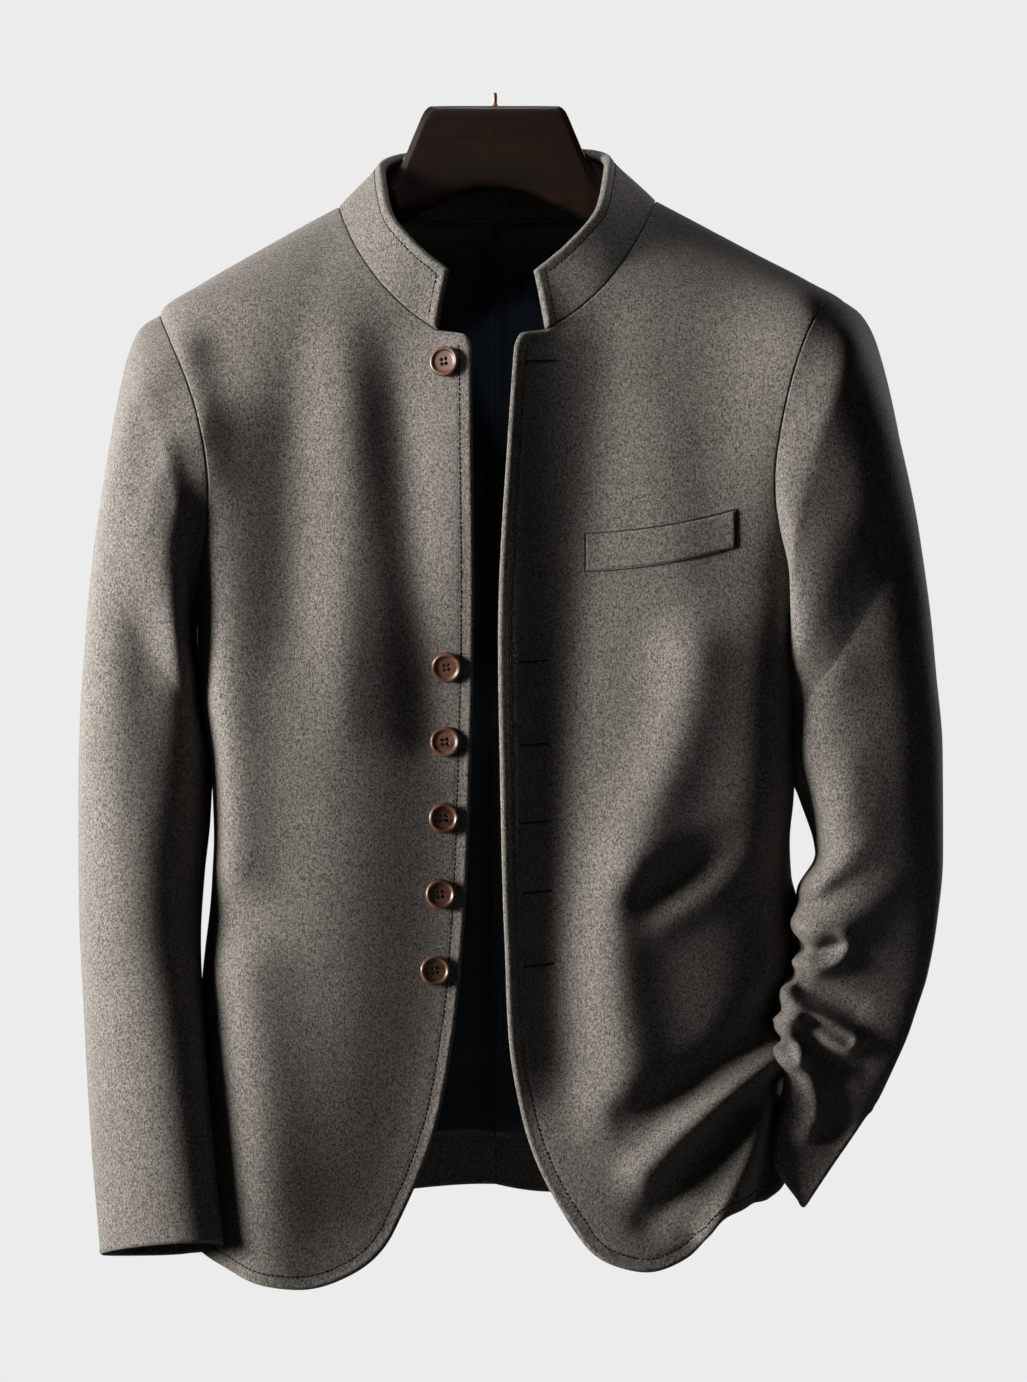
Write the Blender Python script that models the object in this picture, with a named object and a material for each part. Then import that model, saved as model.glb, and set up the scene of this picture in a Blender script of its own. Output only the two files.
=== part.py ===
"""A stand collar blazer hanging open on a wooden hanger.

Sizes are in millimetres and become metres when a mesh is made.  The origin is the top of the
hook stem, +Z is up and the front of the blazer faces -Y.  Sides are the wearer's, so "right" lies
at -X and "left" at +X.

The torso is one shared form: a stack of level sections, each a rounded oval whose place on the
oval is its turn, 0 at the front middle, a quarter turn at the side and half a turn at the back.
Fronts and backs are patches of that form.  Each sleeve is a row of rings between an outer and an
inner line, and its first ring is the armhole.
"""
import math

import bmesh
import bpy
import numpy as np

MM = 0.001
QUARTER = math.pi / 2

SEAM_GAP = 0.3
FRONT_WALL = 3.0
BACK_WALL = 2.6
SLEEVE_WALL = 2.6
COLLAR_WALL = 4.0
LINING_WALL = 1.0
WELT_WALL = 2.0

RIGHT = -1
LEFT = 1


def table(columns, *rows):
    """The rows as one array for each named column."""
    return dict(zip(columns.split(), np.array(rows, float).T))


# Level sections of the torso: half widths of the two sides, depth of the front and of the back
# from the shoulder plane, and how square the oval is (2 is an ellipse).
TORSO = table(
    "z right left front back square",
    (-60, 70, 84, 18, 30, 2.0),
    (-75, 101, 112, 29, 41, 2.0),
    (-90, 129, 140, 41, 53, 2.0),
    (-110, 164, 176, 54, 63, 2.0),
    (-130, 197, 210, 67, 71, 2.0),
    (-150, 224, 236, 77, 76, 2.05),
    (-175, 226, 238, 85, 82, 2.1),
    (-200, 222, 232, 91, 86, 2.1),
    (-260, 212, 219, 98, 90, 2.15),
    (-355, 197, 203.5, 101, 88, 2.3),
    (-400, 196, 202, 100, 83, 2.35),
    (-450, 188.5, 198.5, 97, 77, 2.4),
    (-560, 193.5, 197.5, 97, 80, 2.4),
    (-650, 198, 194, 102, 88, 2.4),
    (-775, 200, 190, 110, 95, 2.4),
    (-830, 200, 190, 112, 97, 2.4),
)

# Where the seams of each side begin and end (heights), and how far the armhole is cut in.
SEAMS = {
    RIGHT: dict(neck=-77, shoulder=-150, armpit=-355, side_hem=-774, cut_in_front=17, cut_in_back=15),
    LEFT: dict(neck=-73, shoulder=-145, armpit=-355, side_hem=-716, cut_in_front=30, cut_in_back=20),
}
ARMHOLE_POWER = 1.3
ARMPIT_LEAN = 0.6
CENTRE_HEM = -748
CENTRE_NECK = -80

# Front edge from the hem corner up to the top step, then the hem from that corner to the side.
FRONT_EDGE = {
    RIGHT: ((-62, -746), (-39, -690), (-27, -630), (-19, -545), (-15, -440), (-13, -344), (-14, -230), (-16, -176)),
    LEFT: ((52, -748), (26, -702), (12, -645), (7, -565), (4, -460), (3, -344), (9, -240), (14, -174)),
}
FRONT_HEM = {
    RIGHT: ((-62, -746), (-94, -782), (-126, -791), (-158, -790), (-185, -783)),
    LEFT: ((52, -748), (78, -771), (102, -775), (124, -767), (140, -748), (158, -726), (180, -716)),
}
BACK_HEM = {
    RIGHT: ((-70, -754), (-140, -765)),
    LEFT: ((70, -754), (140, -751), (176, -744)),
}
# The front neckline from the collar end to the shoulder seam, and the back one from the shoulder
# seam to the centre back, as (distance from the middle, height).
FRONT_NECK = ((37, -166), (72, -138.5), (93, -107))
BACK_NECK = ((60, -80),)

# Grid of each side: columns across a panel, rows along it, and the rows used by each boundary.
GRID = {
    RIGHT: dict(columns=12, side_rows=15),
    LEFT: dict(columns=12, side_rows=15),
}
ARM_ROWS = 11
FRONT_NECK_ROWS = 5
BACK_NECK_ROWS = 5
ARMPIT_DIP = 32

# Rings of the sleeves: outer and inner point in the front view, middle depth, half depth to the
# front and to the back, and how far the front of the ring drops below its middle.
SLEEVE = {
    RIGHT: table(
        "outer_x outer_z inner_x inner_z middle_y front back drop",
        (-224, -150, -197, -355, 0, 48, 46, 0),
        (-237, -159, -201, -363, -2, 52, 50, 0),
        (-246, -180, -201, -372, -4, 55, 53, 0),
        (-258, -255, -197.5, -402, -14, 60, 58, 0),
        (-269, -342, -192.5, -442, -27, 60, 56, 0),
        (-275, -442, -190, -488, -41, 58, 54, 0),
        (-274, -541, -191, -560, -57, 54, 50, 0),
        (-269, -607, -189.5, -610, -69, 50, 46, -2),
        (-262, -690, -182, -688, -84, 46, 42, -6),
        (-254, -767, -172, -756, -95, 42, 38, -9),
    ),
    LEFT: table(
        "outer_x outer_z inner_x inner_z middle_y front back drop",
        (231.5, -145, 203.5, -355, 0, 48, 46, 0),
        (244, -154, 208, -363, -2, 52, 50, 0),
        (254, -172, 209, -372, -4, 55, 53, 0),
        (271, -241, 205, -404, -15, 60, 56, 0),
        (285, -335, 204, -452, -30, 60, 54, 0),
        (295, -442, 215, -508, -45, 57, 50, 0),
        (294, -510, 201, -538, -55, 57, 46, 0),
        (290, -552, 199, -556, -60, 57, 44, 0),
        (283.5, -588, 201, -576, -64, 57, 43, 0),
        (272, -622, 190, -604, -69, 56, 42, 0),
        (263.5, -642, 190, -638, -72, 52, 41, 2),
        (256, -656, 189, -670, -73, 48, 40, 4),
        (250.5, -665, 190, -700, -73, 46, 40, 6),
        (246, -671, 198, -732, -73, 44, 40, 8),
    ),
}
SLEEVE_ROWS = {RIGHT: 18, LEFT: 30}
ROW_CROWDING = 1.25
TURN_REACH = 110
CAP_LENGTH = 0.24
FOLD_FREE = 0.1
UNDER_FIRST = 10
UNDER_LAST = 15

# Top edge of the collar against the stations of the neckline (front end 0, shoulder 1, back 2).
COLLAR_TOP = table(
    "station x y z",
    (0.0, 29.5, -79, -129),
    (0.35, 51, -71, -110),
    (0.7, 69, -52, -84),
    (1.0, 74.5, -14, -50),
    (1.5, 52, 22, -36),
    (2.0, 0, 35, -35),
)
COLLAR_ROWS = 4
COLLAR_BULGE = 0.5

# Largest folds of each piece: height at the start and at the end (out is plus), half width, and the
# path of the fold in the front view.
FRONT_FOLDS = {
    RIGHT: (
        (-5, -5, 26, ((-100, -170), (-104, -280), (-138, -420))),
        (5, 4, 26, ((-60, -240), (-66, -420), (-80, -640))),
        (-4, -4, 24, ((-120, -480), (-118, -700))),
    ),
    LEFT: (
        (-5, -4, 24, ((32, -210), (30, -340))),
        (-4, -8, 20, ((72, -552), (105, -528), (150, -500))),
        (4, 7, 18, ((84, -566), (118, -549), (165, -515))),
        (-3, -11, 15, ((72, -666), (106, -655), (145, -636), (178, -616))),
        (4, 11, 13, ((86, -684), (124, -668), (155, -648), (180, -632))),
        (-3, -10, 14, ((106, -724), (138, -690), (172, -658))),
        (3, 6, 12, ((136, -726), (164, -690))),
    ),
}
SLEEVE_FOLDS = {
    RIGHT: (
        (5, 7, 16, ((-238, -330), (-214, -360), (-196, -392))),
        (-6, -5, 20, ((-236, -372), (-226, -470))),
        (5, 4, 18, ((-205, -480), (-210, -600), (-200, -690))),
    ),
    LEFT: (
        (6, 4, 17, ((222, -420), (216, -490), (204, -540))),
        (-6, -4, 10, ((204, -548), (226, -543), (246, -533))),
        (8, 5, 11, ((206, -562), (234, -562), (266, -539))),
        (7, 9, 8, ((232, -570), (222, -586), (206, -588), (196, -593))),
        (-8, -5, 9, ((198, -598), (218, -606), (250, -618))),
        (9, 7, 7, ((192, -608), (208, -616), (226, -623), (243, -635))),
        (6, 5, 11, ((197, -634), (207, -660), (212, -688))),
    ),
}
BACK_FOLDS = (
    (-4, -6, 30, ((-125, -400), (-130, -770))),
    (4, 6, 34, ((-60, -420), (-70, -770))),
    (-4, -5, 28, ((20, -430), (26, -760))),
    (5, 6, 32, ((84, -440), (88, -760))),
)
FOLD_STEPS = 12

# Chest welt on the left front: its two ends as (x, top, bottom), and its grid.
WELT_INNER = dict(x=58, top=-300.5, bottom=-326)
WELT_OUTER = dict(x=161, top=-285, bottom=-310.5)
WELT_SAG = 1.5
WELT_COLUMNS = 8
WELT_ROWS = 2

BUTTON_HEIGHTS = (-189.5, -386.5, -436, -485.5, -535, -584.5)
BUTTON_INSET = 17
BUTTON = dict(radius=10, thick=4.2, rim=1.6, dish=1.1, hole_radius=1.0, hole_reach=2.1, steps=16)

LINING_FIRST_ROW = 1
LINING_NECK_ROWS = 2
PLEAT = dict(width=9, height=2.5)

# Hanger: distance from the middle, top and bottom height, half thickness, and how square it is.
# Beyond the neck block the top follows the shoulder seams.
HANGER = table(
    "x top bottom half square",
    (0, -10, -67, 11, 5.0),
    (24, -10, -70, 11, 5.0),
    (44.5, -10.0, -77.5, 11, 5.0),
    (46, -11.5, -78.5, 11, 5.0),
    (54, -28.3, -82, 11, 4.5),
    (60.6, -43.8, -86, 11, 4.0),
    (66.6, -56, -89, 10.5, 3.5),
    (76, -68, -94, 10, 2.6),
    (90, -80, -101, 9.5, 2.0),
    (112, 0, -116, 9.5, 2.0),
    (145, 0, -138, 9.5, 2.0),
    (180, 0, -158, 9.5, 2.0),
    (204, 0, -168, 9, 2.0),
)
HANGER_FREE_FROM = 100
HANGER_POINTS = 14
HANGER_TIP = dict(length=6, share=0.55)
STEM = dict(radius=1.6, length=9.7, steps=16)

SURFACE_STEP = 0.002
HEIGHT_STEP = 0.6

WOOL = ("heather_wool", (0.115, 0.106, 0.092, 1), 0.95, 0.0)
LINING = ("satin_lining", (0.006, 0.008, 0.012, 1), 0.45, 0.0)
HORN = ("brown_button", (0.055, 0.030, 0.016, 1), 0.40, 0.0)
WOOD = ("dark_wood", (0.018, 0.010, 0.006, 1), 0.45, 0.0)
COPPER = ("copper", (0.43, 0.20, 0.11, 1), 0.35, 1.0)


def along(known, values, at):
    """A smooth curve through the known values that never overshoots them."""
    order = np.argsort(known)
    known = np.asarray(known, float)[order]
    values = np.asarray(values, float)[order]
    step = np.diff(known)
    slope = np.diff(values) / step
    before, after = slope[:-1], slope[1:]
    agree = before * after > 0
    inner = np.where(agree, 2 * before * after / np.where(agree, before + after, 1), 0)
    tangent = np.concatenate([slope[:1], inner, slope[-1:]])
    at = np.clip(at, known[0], known[-1])
    i = np.clip(np.searchsorted(known, at, side="right") - 1, 0, len(step) - 1)
    u = (at - known[i]) / step[i]
    rise = values[i + 1] - values[i]
    bend_in = step[i] * tangent[i] - rise
    bend_out = rise - step[i] * tangent[i + 1]
    return values[i] + rise * u + u * (1 - u) * ((1 - u) * bend_in + u * bend_out)


def through(points, share):
    """Points at the given shares of the length of a smooth curve through the given points."""
    points = np.asarray(points, float)
    length = np.linalg.norm(np.diff(points, axis=0), axis=1)
    place = np.concatenate([[0], np.cumsum(length)])
    tangent = np.gradient(points, place, axis=0, edge_order=2 if len(points) > 2 else 1)
    at = np.clip(np.asarray(share, float), 0, 1) * place[-1]
    i = np.clip(np.searchsorted(place, at, side="right") - 1, 0, len(length) - 1)
    u = ((at - place[i]) / length[i])[..., None]
    span = length[i][..., None]
    rise = points[i + 1] - points[i]
    bend_in = span * tangent[i] - rise
    bend_out = rise - span * tangent[i + 1]
    return points[i] + rise * u + u * (1 - u) * ((1 - u) * bend_in + u * bend_out)


def unit(vectors):
    return vectors / np.maximum(np.linalg.norm(vectors, axis=-1, keepdims=True), 1e-9)


def half_width(side, z):
    return along(TORSO["z"], TORSO["right" if side == RIGHT else "left"], z)


def torso_form(side, turn, z):
    """The plain torso at a turn and a height: a rounded oval of the section at that height."""
    width = half_width(side, z)
    front = along(TORSO["z"], TORSO["front"], z)
    back = along(TORSO["z"], TORSO["back"], z)
    square = along(TORSO["z"], TORSO["square"], z)
    depth = np.where(turn < QUARTER, front, back)
    across = np.clip(np.sin(turn), 0, 1)
    reach = ((across / width) ** square + (np.abs(np.cos(turn)) / depth) ** square) ** (-1 / square)
    return np.stack([side * reach * across, -reach * np.cos(turn), z + 0 * reach], axis=-1)


def turn_at(side, x, z, behind=False):
    """The turn at which the torso form has the given x, on the front or behind."""
    depth = along(TORSO["z"], TORSO["back" if behind else "front"], z)
    square = along(TORSO["z"], TORSO["square"], z)
    share = np.clip(np.abs(x) / half_width(side, z), 0, 1)
    turn = np.arctan2(np.abs(x), depth * (1 - share ** square) ** (1 / square))
    return math.pi - turn if behind else turn


def fold_height(folds, x, z):
    """Sum of soft ridges and troughs, each fading with the distance from its path."""
    place = np.stack([x, z], axis=-1)[..., None, :]
    total = np.zeros(np.shape(x))
    for first, last, width, path in folds:
        line = through(path, np.linspace(0, 1, FOLD_STEPS + 1))
        step = np.diff(line, axis=0)
        away = place - line[:-1]
        share = np.clip((away * step).sum(-1) / (step ** 2).sum(-1), 0, 1)
        gap = np.linalg.norm(away - share[..., None] * step, axis=-1)
        near = gap.argmin(-1)[..., None]
        run = (near[..., 0] + np.take_along_axis(share, near, -1)[..., 0]) / FOLD_STEPS
        total += (first + (last - first) * run) * np.exp(-(gap.min(-1) / width) ** 2)
    return total


def normals(surface, u, v, u_step, v_step):
    """Unit normals of a surface of two parameters, by central steps."""
    across = surface(u + u_step, v) - surface(u - u_step, v)
    up = surface(u, v + v_step) - surface(u, v - v_step)
    return unit(np.cross(across, up))


def torso_surface(side, behind=False):
    """The torso with the folds of one front or back, and its outward normals."""
    folds = BACK_FOLDS if behind else FRONT_FOLDS[side]

    def plain(turn, z):
        return torso_form(side, turn, z)

    def folded(turn, z):
        point = plain(turn, z)
        out = side * normals(plain, turn, z, SURFACE_STEP, HEIGHT_STEP)
        keep = np.clip(np.abs(np.cos(turn)) * 3, 0, 1)
        return point + out * (keep * fold_height(folds, point[..., 0], z))[..., None]

    def outward(turn, z):
        return side * normals(folded, turn, z, SURFACE_STEP, HEIGHT_STEP)

    return folded, outward


def armhole(side, angle):
    """The armhole: 0 at the shoulder, a half turn at the armpit, the front half first."""
    seam = SEAMS[side]
    share = (1 + np.cos(angle)) / 2
    z = seam["armpit"] + (seam["shoulder"] - seam["armpit"]) * share
    low, high = half_width(side, seam["armpit"]), half_width(side, seam["shoulder"])
    cut = np.where(np.sin(angle) >= 0, seam["cut_in_front"], seam["cut_in_back"])
    x = low + (high - low) * share - cut * np.abs(np.sin(angle)) ** ARMHOLE_POWER
    turn = np.where(np.sin(angle) >= 0, turn_at(side, x, z), turn_at(side, x, z, True))
    return np.stack([turn, z], axis=-1)


def armhole_out(side, angle):
    """The direction out of the armhole, shared by panels and sleeve: within the armhole's plane, and
    halfway to the side of the torso at the armpit."""
    seam = SEAMS[side]
    low, high = half_width(side, seam["armpit"]), half_width(side, seam["shoulder"])
    rise = np.array([side * (high - low), 0, seam["shoulder"] - seam["armpit"]])
    tall = np.linalg.norm(rise) / 2
    deep = SLEEVE[side]["front"][0]
    up = np.cos(angle)[..., None] / tall * unit(rise)
    aside = np.clip(-np.cos(angle), 0, 1)[..., None] ** 2 * ARMPIT_LEAN / tall * np.array([side, 0, 0])
    return unit(up + aside + np.sin(angle)[..., None] / deep * np.array([0, -1, 0]))


def ridge_out(points):
    """The direction straight out of a seam that lies in the shoulder plane."""
    run = np.gradient(points, axis=0)
    out = np.stack([-run[:, 2], np.zeros(len(points)), run[:, 0]], axis=-1)
    return unit(out)


def neck_out(points, lift):
    """The direction out of the neckline: away from the middle of the neck and up by the lift."""
    flat = points * np.array([1, 1, 0])
    return unit(unit(flat) + np.asarray(lift)[:, None] * np.array([0, 0, 1]))


def neck_station(side):
    """Turns, heights and stations of the neckline from the collar end over the shoulder to the back."""
    seam = SEAMS[side]
    ahead = np.sin(np.linspace(0, QUARTER, FRONT_NECK_ROWS + 1))
    edge = half_width(side, seam["neck"])
    front = through(FRONT_NECK + ((edge, seam["neck"]),), ahead)
    behind = 1 - np.cos(np.linspace(0, QUARTER, BACK_NECK_ROWS + 1))
    back = through(((edge, seam["neck"]),) + BACK_NECK + ((0, CENTRE_NECK),), behind)
    front_turn = turn_at(side, front[:, 0], front[:, 1])
    back_turn = turn_at(side, back[:, 0], back[:, 1], True)
    front_turn[-1] = QUARTER
    back_turn[0] = QUARTER
    turn = np.concatenate([front_turn, back_turn[1:]])
    z = np.concatenate([front[:, 1], back[1:, 1]])
    return turn, z, np.concatenate([ahead, 1 + behind[1:]])


def neck_lift(station):
    return np.interp(station, (0, 1, 2), (0.25, 1.2, 0.5))


def patch(inner, outer, hem):
    """A grid of (turn, height) between an inner and an outer boundary, bent to follow the hem."""
    columns = len(hem) - 1
    s = np.linspace(0, 1, columns + 1)[None, :, None]
    t = np.linspace(0, 1, len(inner))[:, None, None]
    straight = hem[0] + (hem[-1] - hem[0]) * s[0]
    return (1 - s) * inner[:, None] + s * outer[:, None] + (1 - t) * (hem - straight)[None]


def row_shares(side, points, rows):
    """Shares of an inner boundary for each row: the armpit's row lies a dip below the armpit."""
    share = np.linspace(0, 1, 200)
    level = np.interp(SEAMS[side]["armpit"] - ARMPIT_DIP, through(points, share)[:, 1], share)
    low = GRID[side]["side_rows"]
    return np.concatenate([np.linspace(0, level, low + 1), np.linspace(level, 1, rows - low + 1)[1:]])


def hem_line(side, points, first, last, behind):
    """The hem as (turn, height) at each column, through its points and the given ends."""
    points = np.array(points, float)
    turns = np.stack([turn_at(side, points[:, 0], points[:, 1], behind), points[:, 1]], axis=-1)
    controls = np.array(list(first) + list(turns) + list(last)) * np.array([TURN_REACH, 1])
    return through(controls, np.linspace(0, 1, GRID[side]["columns"] + 1)) / np.array([TURN_REACH, 1])


def side_and_armhole(side, behind):
    """The outer boundary of a panel: up the side seam, then round half the armhole."""
    seam = SEAMS[side]
    rows = GRID[side]["side_rows"]
    side_z = np.linspace(seam["side_hem"], seam["armpit"], rows + 1)[:-1]
    low = np.stack([np.full(rows, QUARTER), side_z], axis=-1)
    angle = np.linspace(math.pi, 2 * math.pi if behind else 0, ARM_ROWS + 1)
    arm = armhole(side, angle)
    arm[[0, -1], 0] = QUARTER
    return np.concatenate([low, arm]), angle


def front_panel(side):
    """Outer points and wall directions of a front."""
    grid = GRID[side]
    rows = grid["side_rows"] + ARM_ROWS
    edge_rows = rows - FRONT_NECK_ROWS - 1
    edge = through(FRONT_EDGE[side], row_shares(side, FRONT_EDGE[side], edge_rows))
    edge = np.stack([turn_at(side, edge[:, 0], edge[:, 1]), edge[:, 1]], axis=-1)
    turn, z, station = neck_station(side)
    neck = np.stack([turn, z], axis=-1)[:FRONT_NECK_ROWS + 1]
    inner = np.concatenate([edge, neck])
    outer, angle = side_and_armhole(side, False)
    place = patch(inner, outer, hem_line(side, FRONT_HEM[side], [], [outer[0]], False))
    surface, outward = torso_surface(side)
    points = surface(place[..., 0], place[..., 1])
    out = outward(place[..., 0], place[..., 1])
    low = grid["side_rows"]
    out[:low + 1, -1] = -side * ridge_out(points[:low + 1, -1])
    out[-1] = side * ridge_out(points[-1])
    out[edge_rows + 1:, 0] = neck_out(points[edge_rows + 1:, 0], neck_lift(station[:FRONT_NECK_ROWS + 1]))
    out[low:, -1] = armhole_out(side, angle)
    points[:low + 1, -1, 1] -= SEAM_GAP / 2
    points[-1, :, 1] -= SEAM_GAP / 2
    return points, out


def back_panel(side):
    """Outer points and wall directions of a back half."""
    grid = GRID[side]
    rows = grid["side_rows"] + ARM_ROWS
    middle_rows = rows - BACK_NECK_ROWS
    centre = ((0, CENTRE_HEM), (0, CENTRE_NECK))
    middle_z = through(centre, row_shares(side, centre, middle_rows))[:, 1]
    middle = np.stack([np.full(middle_rows + 1, math.pi), middle_z], axis=-1)
    turn, z, station = neck_station(side)
    neck = np.stack([turn, z], axis=-1)[FRONT_NECK_ROWS:][::-1][1:]
    inner = np.concatenate([middle, neck])
    outer, angle = side_and_armhole(side, True)
    place = patch(inner, outer, hem_line(side, BACK_HEM[side], [inner[0]], [outer[0]], True))
    surface, outward = torso_surface(side, True)
    points = surface(place[..., 0], place[..., 1])
    out = outward(place[..., 0], place[..., 1])
    low = grid["side_rows"]
    out[:low + 1, -1] = -side * ridge_out(points[:low + 1, -1])
    out[-1] = side * ridge_out(points[-1])
    out[:middle_rows + 1, 0] = unit(out[:middle_rows + 1, 0] * np.array([0, 1, 1]))
    points[:middle_rows + 1, 0, 0] = 0
    lift = neck_lift(station[FRONT_NECK_ROWS:][::-1])
    out[middle_rows:, 0] = neck_out(points[middle_rows:, 0], lift)
    out[low:, -1] = armhole_out(side, angle)
    points[:low + 1, -1, 1] += SEAM_GAP / 2
    points[-1, :, 1] += SEAM_GAP / 2
    points[:middle_rows + 1, 0, 0] += side * SEAM_GAP / 2
    return points, out


def sleeve_surface(side):
    """A sleeve: rings between its outer and inner line, the first of them the armhole."""
    rings = SLEEVE[side]
    step = sum(np.hypot(np.diff(rings[line + "_x"]), np.diff(rings[line + "_z"])) for line in ("outer", "inner"))
    place = np.concatenate([[0], np.cumsum(step)]) / step.sum()
    panels = torso_surface(side)[0], torso_surface(side, True)[0]

    def ring(angle, v):
        size = {name: along(place, values, v) for name, values in rings.items()}
        share = (1 + np.cos(angle)) / 2
        deep = np.where(np.sin(angle) >= 0, size["front"], size["back"])
        x = size["inner_x"] + (size["outer_x"] - size["inner_x"]) * share
        z = size["inner_z"] + (size["outer_z"] - size["inner_z"]) * share - size["drop"] * np.sin(angle)
        return np.stack([x, size["middle_y"] - deep * np.sin(angle), z], axis=-1)

    def plain(angle, v):
        angle = angle + 0 * v
        hole = armhole(side, angle)
        ahead, behind = (panel(hole[..., 0], hole[..., 1]) for panel in panels)
        seam = np.where(np.sin(angle)[..., None] >= 0, ahead, behind)
        keep = np.clip(1 - v / CAP_LENGTH, 0, 1) ** 2
        return ring(angle, v) + keep[..., None] * (seam - ring(angle, 0 * v))

    def folded(angle, v):
        point = plain(angle, v)
        out = side * normals(plain, angle, v, SURFACE_STEP, SURFACE_STEP)
        keep = np.clip(np.sin(angle) * 2, 0, 1) * np.clip(v / FOLD_FREE, 0, 1)
        height = fold_height(SLEEVE_FOLDS[side], point[..., 0], point[..., 2])
        return point + out * (keep * height)[..., None]

    def outward(angle, v):
        return side * normals(folded, angle, v, SURFACE_STEP, SURFACE_STEP)

    return folded, outward


def sleeve_piece(side, first, last):
    """Outer points and wall directions of the part of a sleeve between two lengthwise seams."""
    step = math.pi / ARM_ROWS
    angle = step * np.arange(first, last + 1, dtype=float)
    v = np.linspace(0, 1, SLEEVE_ROWS[side] + 1) ** ROW_CROWDING
    surface, outward = sleeve_surface(side)
    angles, shares = np.meshgrid(angle, v)
    out = outward(angles, shares)
    points = surface(angles, shares)
    apart = SEAM_GAP / 2 * unit(np.diff(points, axis=1)[:, [0, -1]])
    points[:, 0] += apart[:, 0]
    points[:, -1] -= apart[:, 1]
    seam = SEAMS[side]
    lean = half_width(side, seam["shoulder"]) - half_width(side, seam["armpit"])
    apart = unit(np.array([side * (seam["shoulder"] - seam["armpit"]), 0, -lean]))
    out[0] = armhole_out(side, angle)
    points[0] += SEAM_GAP * apart
    return points, out


def collar_band():
    """Outer points and wall directions of the collar, from its right end round to its left end."""
    bases, tops, outs = [], [], []
    for side in (RIGHT, LEFT):
        turn, z, station = neck_station(side)
        base = torso_form(side, turn, z)
        shift = {name: along(COLLAR_TOP["station"], COLLAR_TOP[name], station) for name in "xyz"}
        top = np.stack([side * shift["x"], shift["y"], shift["z"]], axis=-1)
        out = neck_out(base, neck_lift(station))
        order = slice(None) if side == RIGHT else slice(-2, None, -1)
        bases.append(base[order])
        tops.append(top[order])
        outs.append(out[order])
    base, top, seam_out = (np.concatenate(part) for part in (bases, tops, outs))
    rise = unit(top - base)
    apart = unit(rise - (rise * seam_out).sum(-1, keepdims=True) * seam_out)
    base = base + SEAM_GAP * apart
    share = np.linspace(0, 1, COLLAR_ROWS + 1)[:, None, None]
    points = base + (top - base) * share + COLLAR_BULGE * 4 * share * (1 - share) * seam_out
    away = unit(base * np.array([1, 1, 0])) + 0 * points
    up = unit(np.gradient(points, axis=0))
    out = unit(away - (away * up).sum(-1, keepdims=True) * up)
    out[0] = seam_out
    return points, out


def add_material(name, colour, roughness, metallic):
    material = bpy.data.materials.get(name)
    if material is None:
        material = bpy.data.materials.new(name)
        material.use_nodes = True
        shader = material.node_tree.nodes["Principled BSDF"]
        shader.inputs["Base Color"].default_value = colour
        shader.inputs["Roughness"].default_value = roughness
        shader.inputs["Metallic"].default_value = metallic
        material.diffuse_color = colour
    return material


def add_mesh(name, vertices, faces, look):
    """A mesh object in metres, its faces turned outward."""
    mesh = bpy.data.meshes.new(name)
    mesh.from_pydata((np.asarray(vertices) * MM).tolist(), [], faces)
    body = bmesh.new()
    body.from_mesh(mesh)
    bmesh.ops.recalc_face_normals(body, faces=body.faces)
    if body.calc_volume(signed=True) < 0:
        bmesh.ops.reverse_faces(body, faces=body.faces)
    body.to_mesh(mesh)
    body.free()
    item = bpy.data.objects.new(name, mesh)
    bpy.context.collection.objects.link(item)
    mesh.materials.append(add_material(*look))
    return item


def add_wall(name, points, out, thick, look):
    """A closed cloth wall: the outer points, and the same points moved in along their directions.

    Each cell and each rim is cut along the same diagonal, so that walls that share a grid or a seam
    stay an even gap apart.
    """
    rows, columns = points.shape[:2]
    vertices = np.concatenate([points.reshape(-1, 3), (points - thick * out).reshape(-1, 3)])
    index = np.arange(rows * columns).reshape(rows, columns)
    low, low_next = index[:-1, :-1].ravel(), index[:-1, 1:].ravel()
    high, high_next = index[1:, :-1].ravel(), index[1:, 1:].ravel()
    cells = np.concatenate([np.stack([low, low_next, high_next], 1), np.stack([low, high_next, high], 1)])
    border = np.concatenate([index[0, :-1], index[:-1, -1], index[-1, :0:-1], index[:0:-1, 0]])
    following = np.roll(border, -1)
    offset = rows * columns
    first, last = np.minimum(border, following), np.maximum(border, following)
    rims = np.concatenate([np.stack([first, first + offset, last + offset], 1),
                           np.stack([first, last + offset, last], 1)])
    faces = cells.tolist() + (cells[:, ::-1] + offset).tolist() + rims.tolist()
    return add_mesh(name, vertices, faces, look)


def add_loft(name, rings, look):
    """A closed solid through rings of equal count, with flat ends."""
    count = len(rings[0])
    vertices = np.concatenate(rings)
    faces = []
    for i in range(len(rings) - 1):
        for j in range(count):
            k = (j + 1) % count
            faces.append((i * count + j, i * count + k, (i + 1) * count + k, (i + 1) * count + j))
    faces.append(tuple(range(count)))
    faces.append(tuple(range((len(rings) - 1) * count, len(rings) * count)))
    return add_mesh(name, vertices, faces, look)


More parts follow.
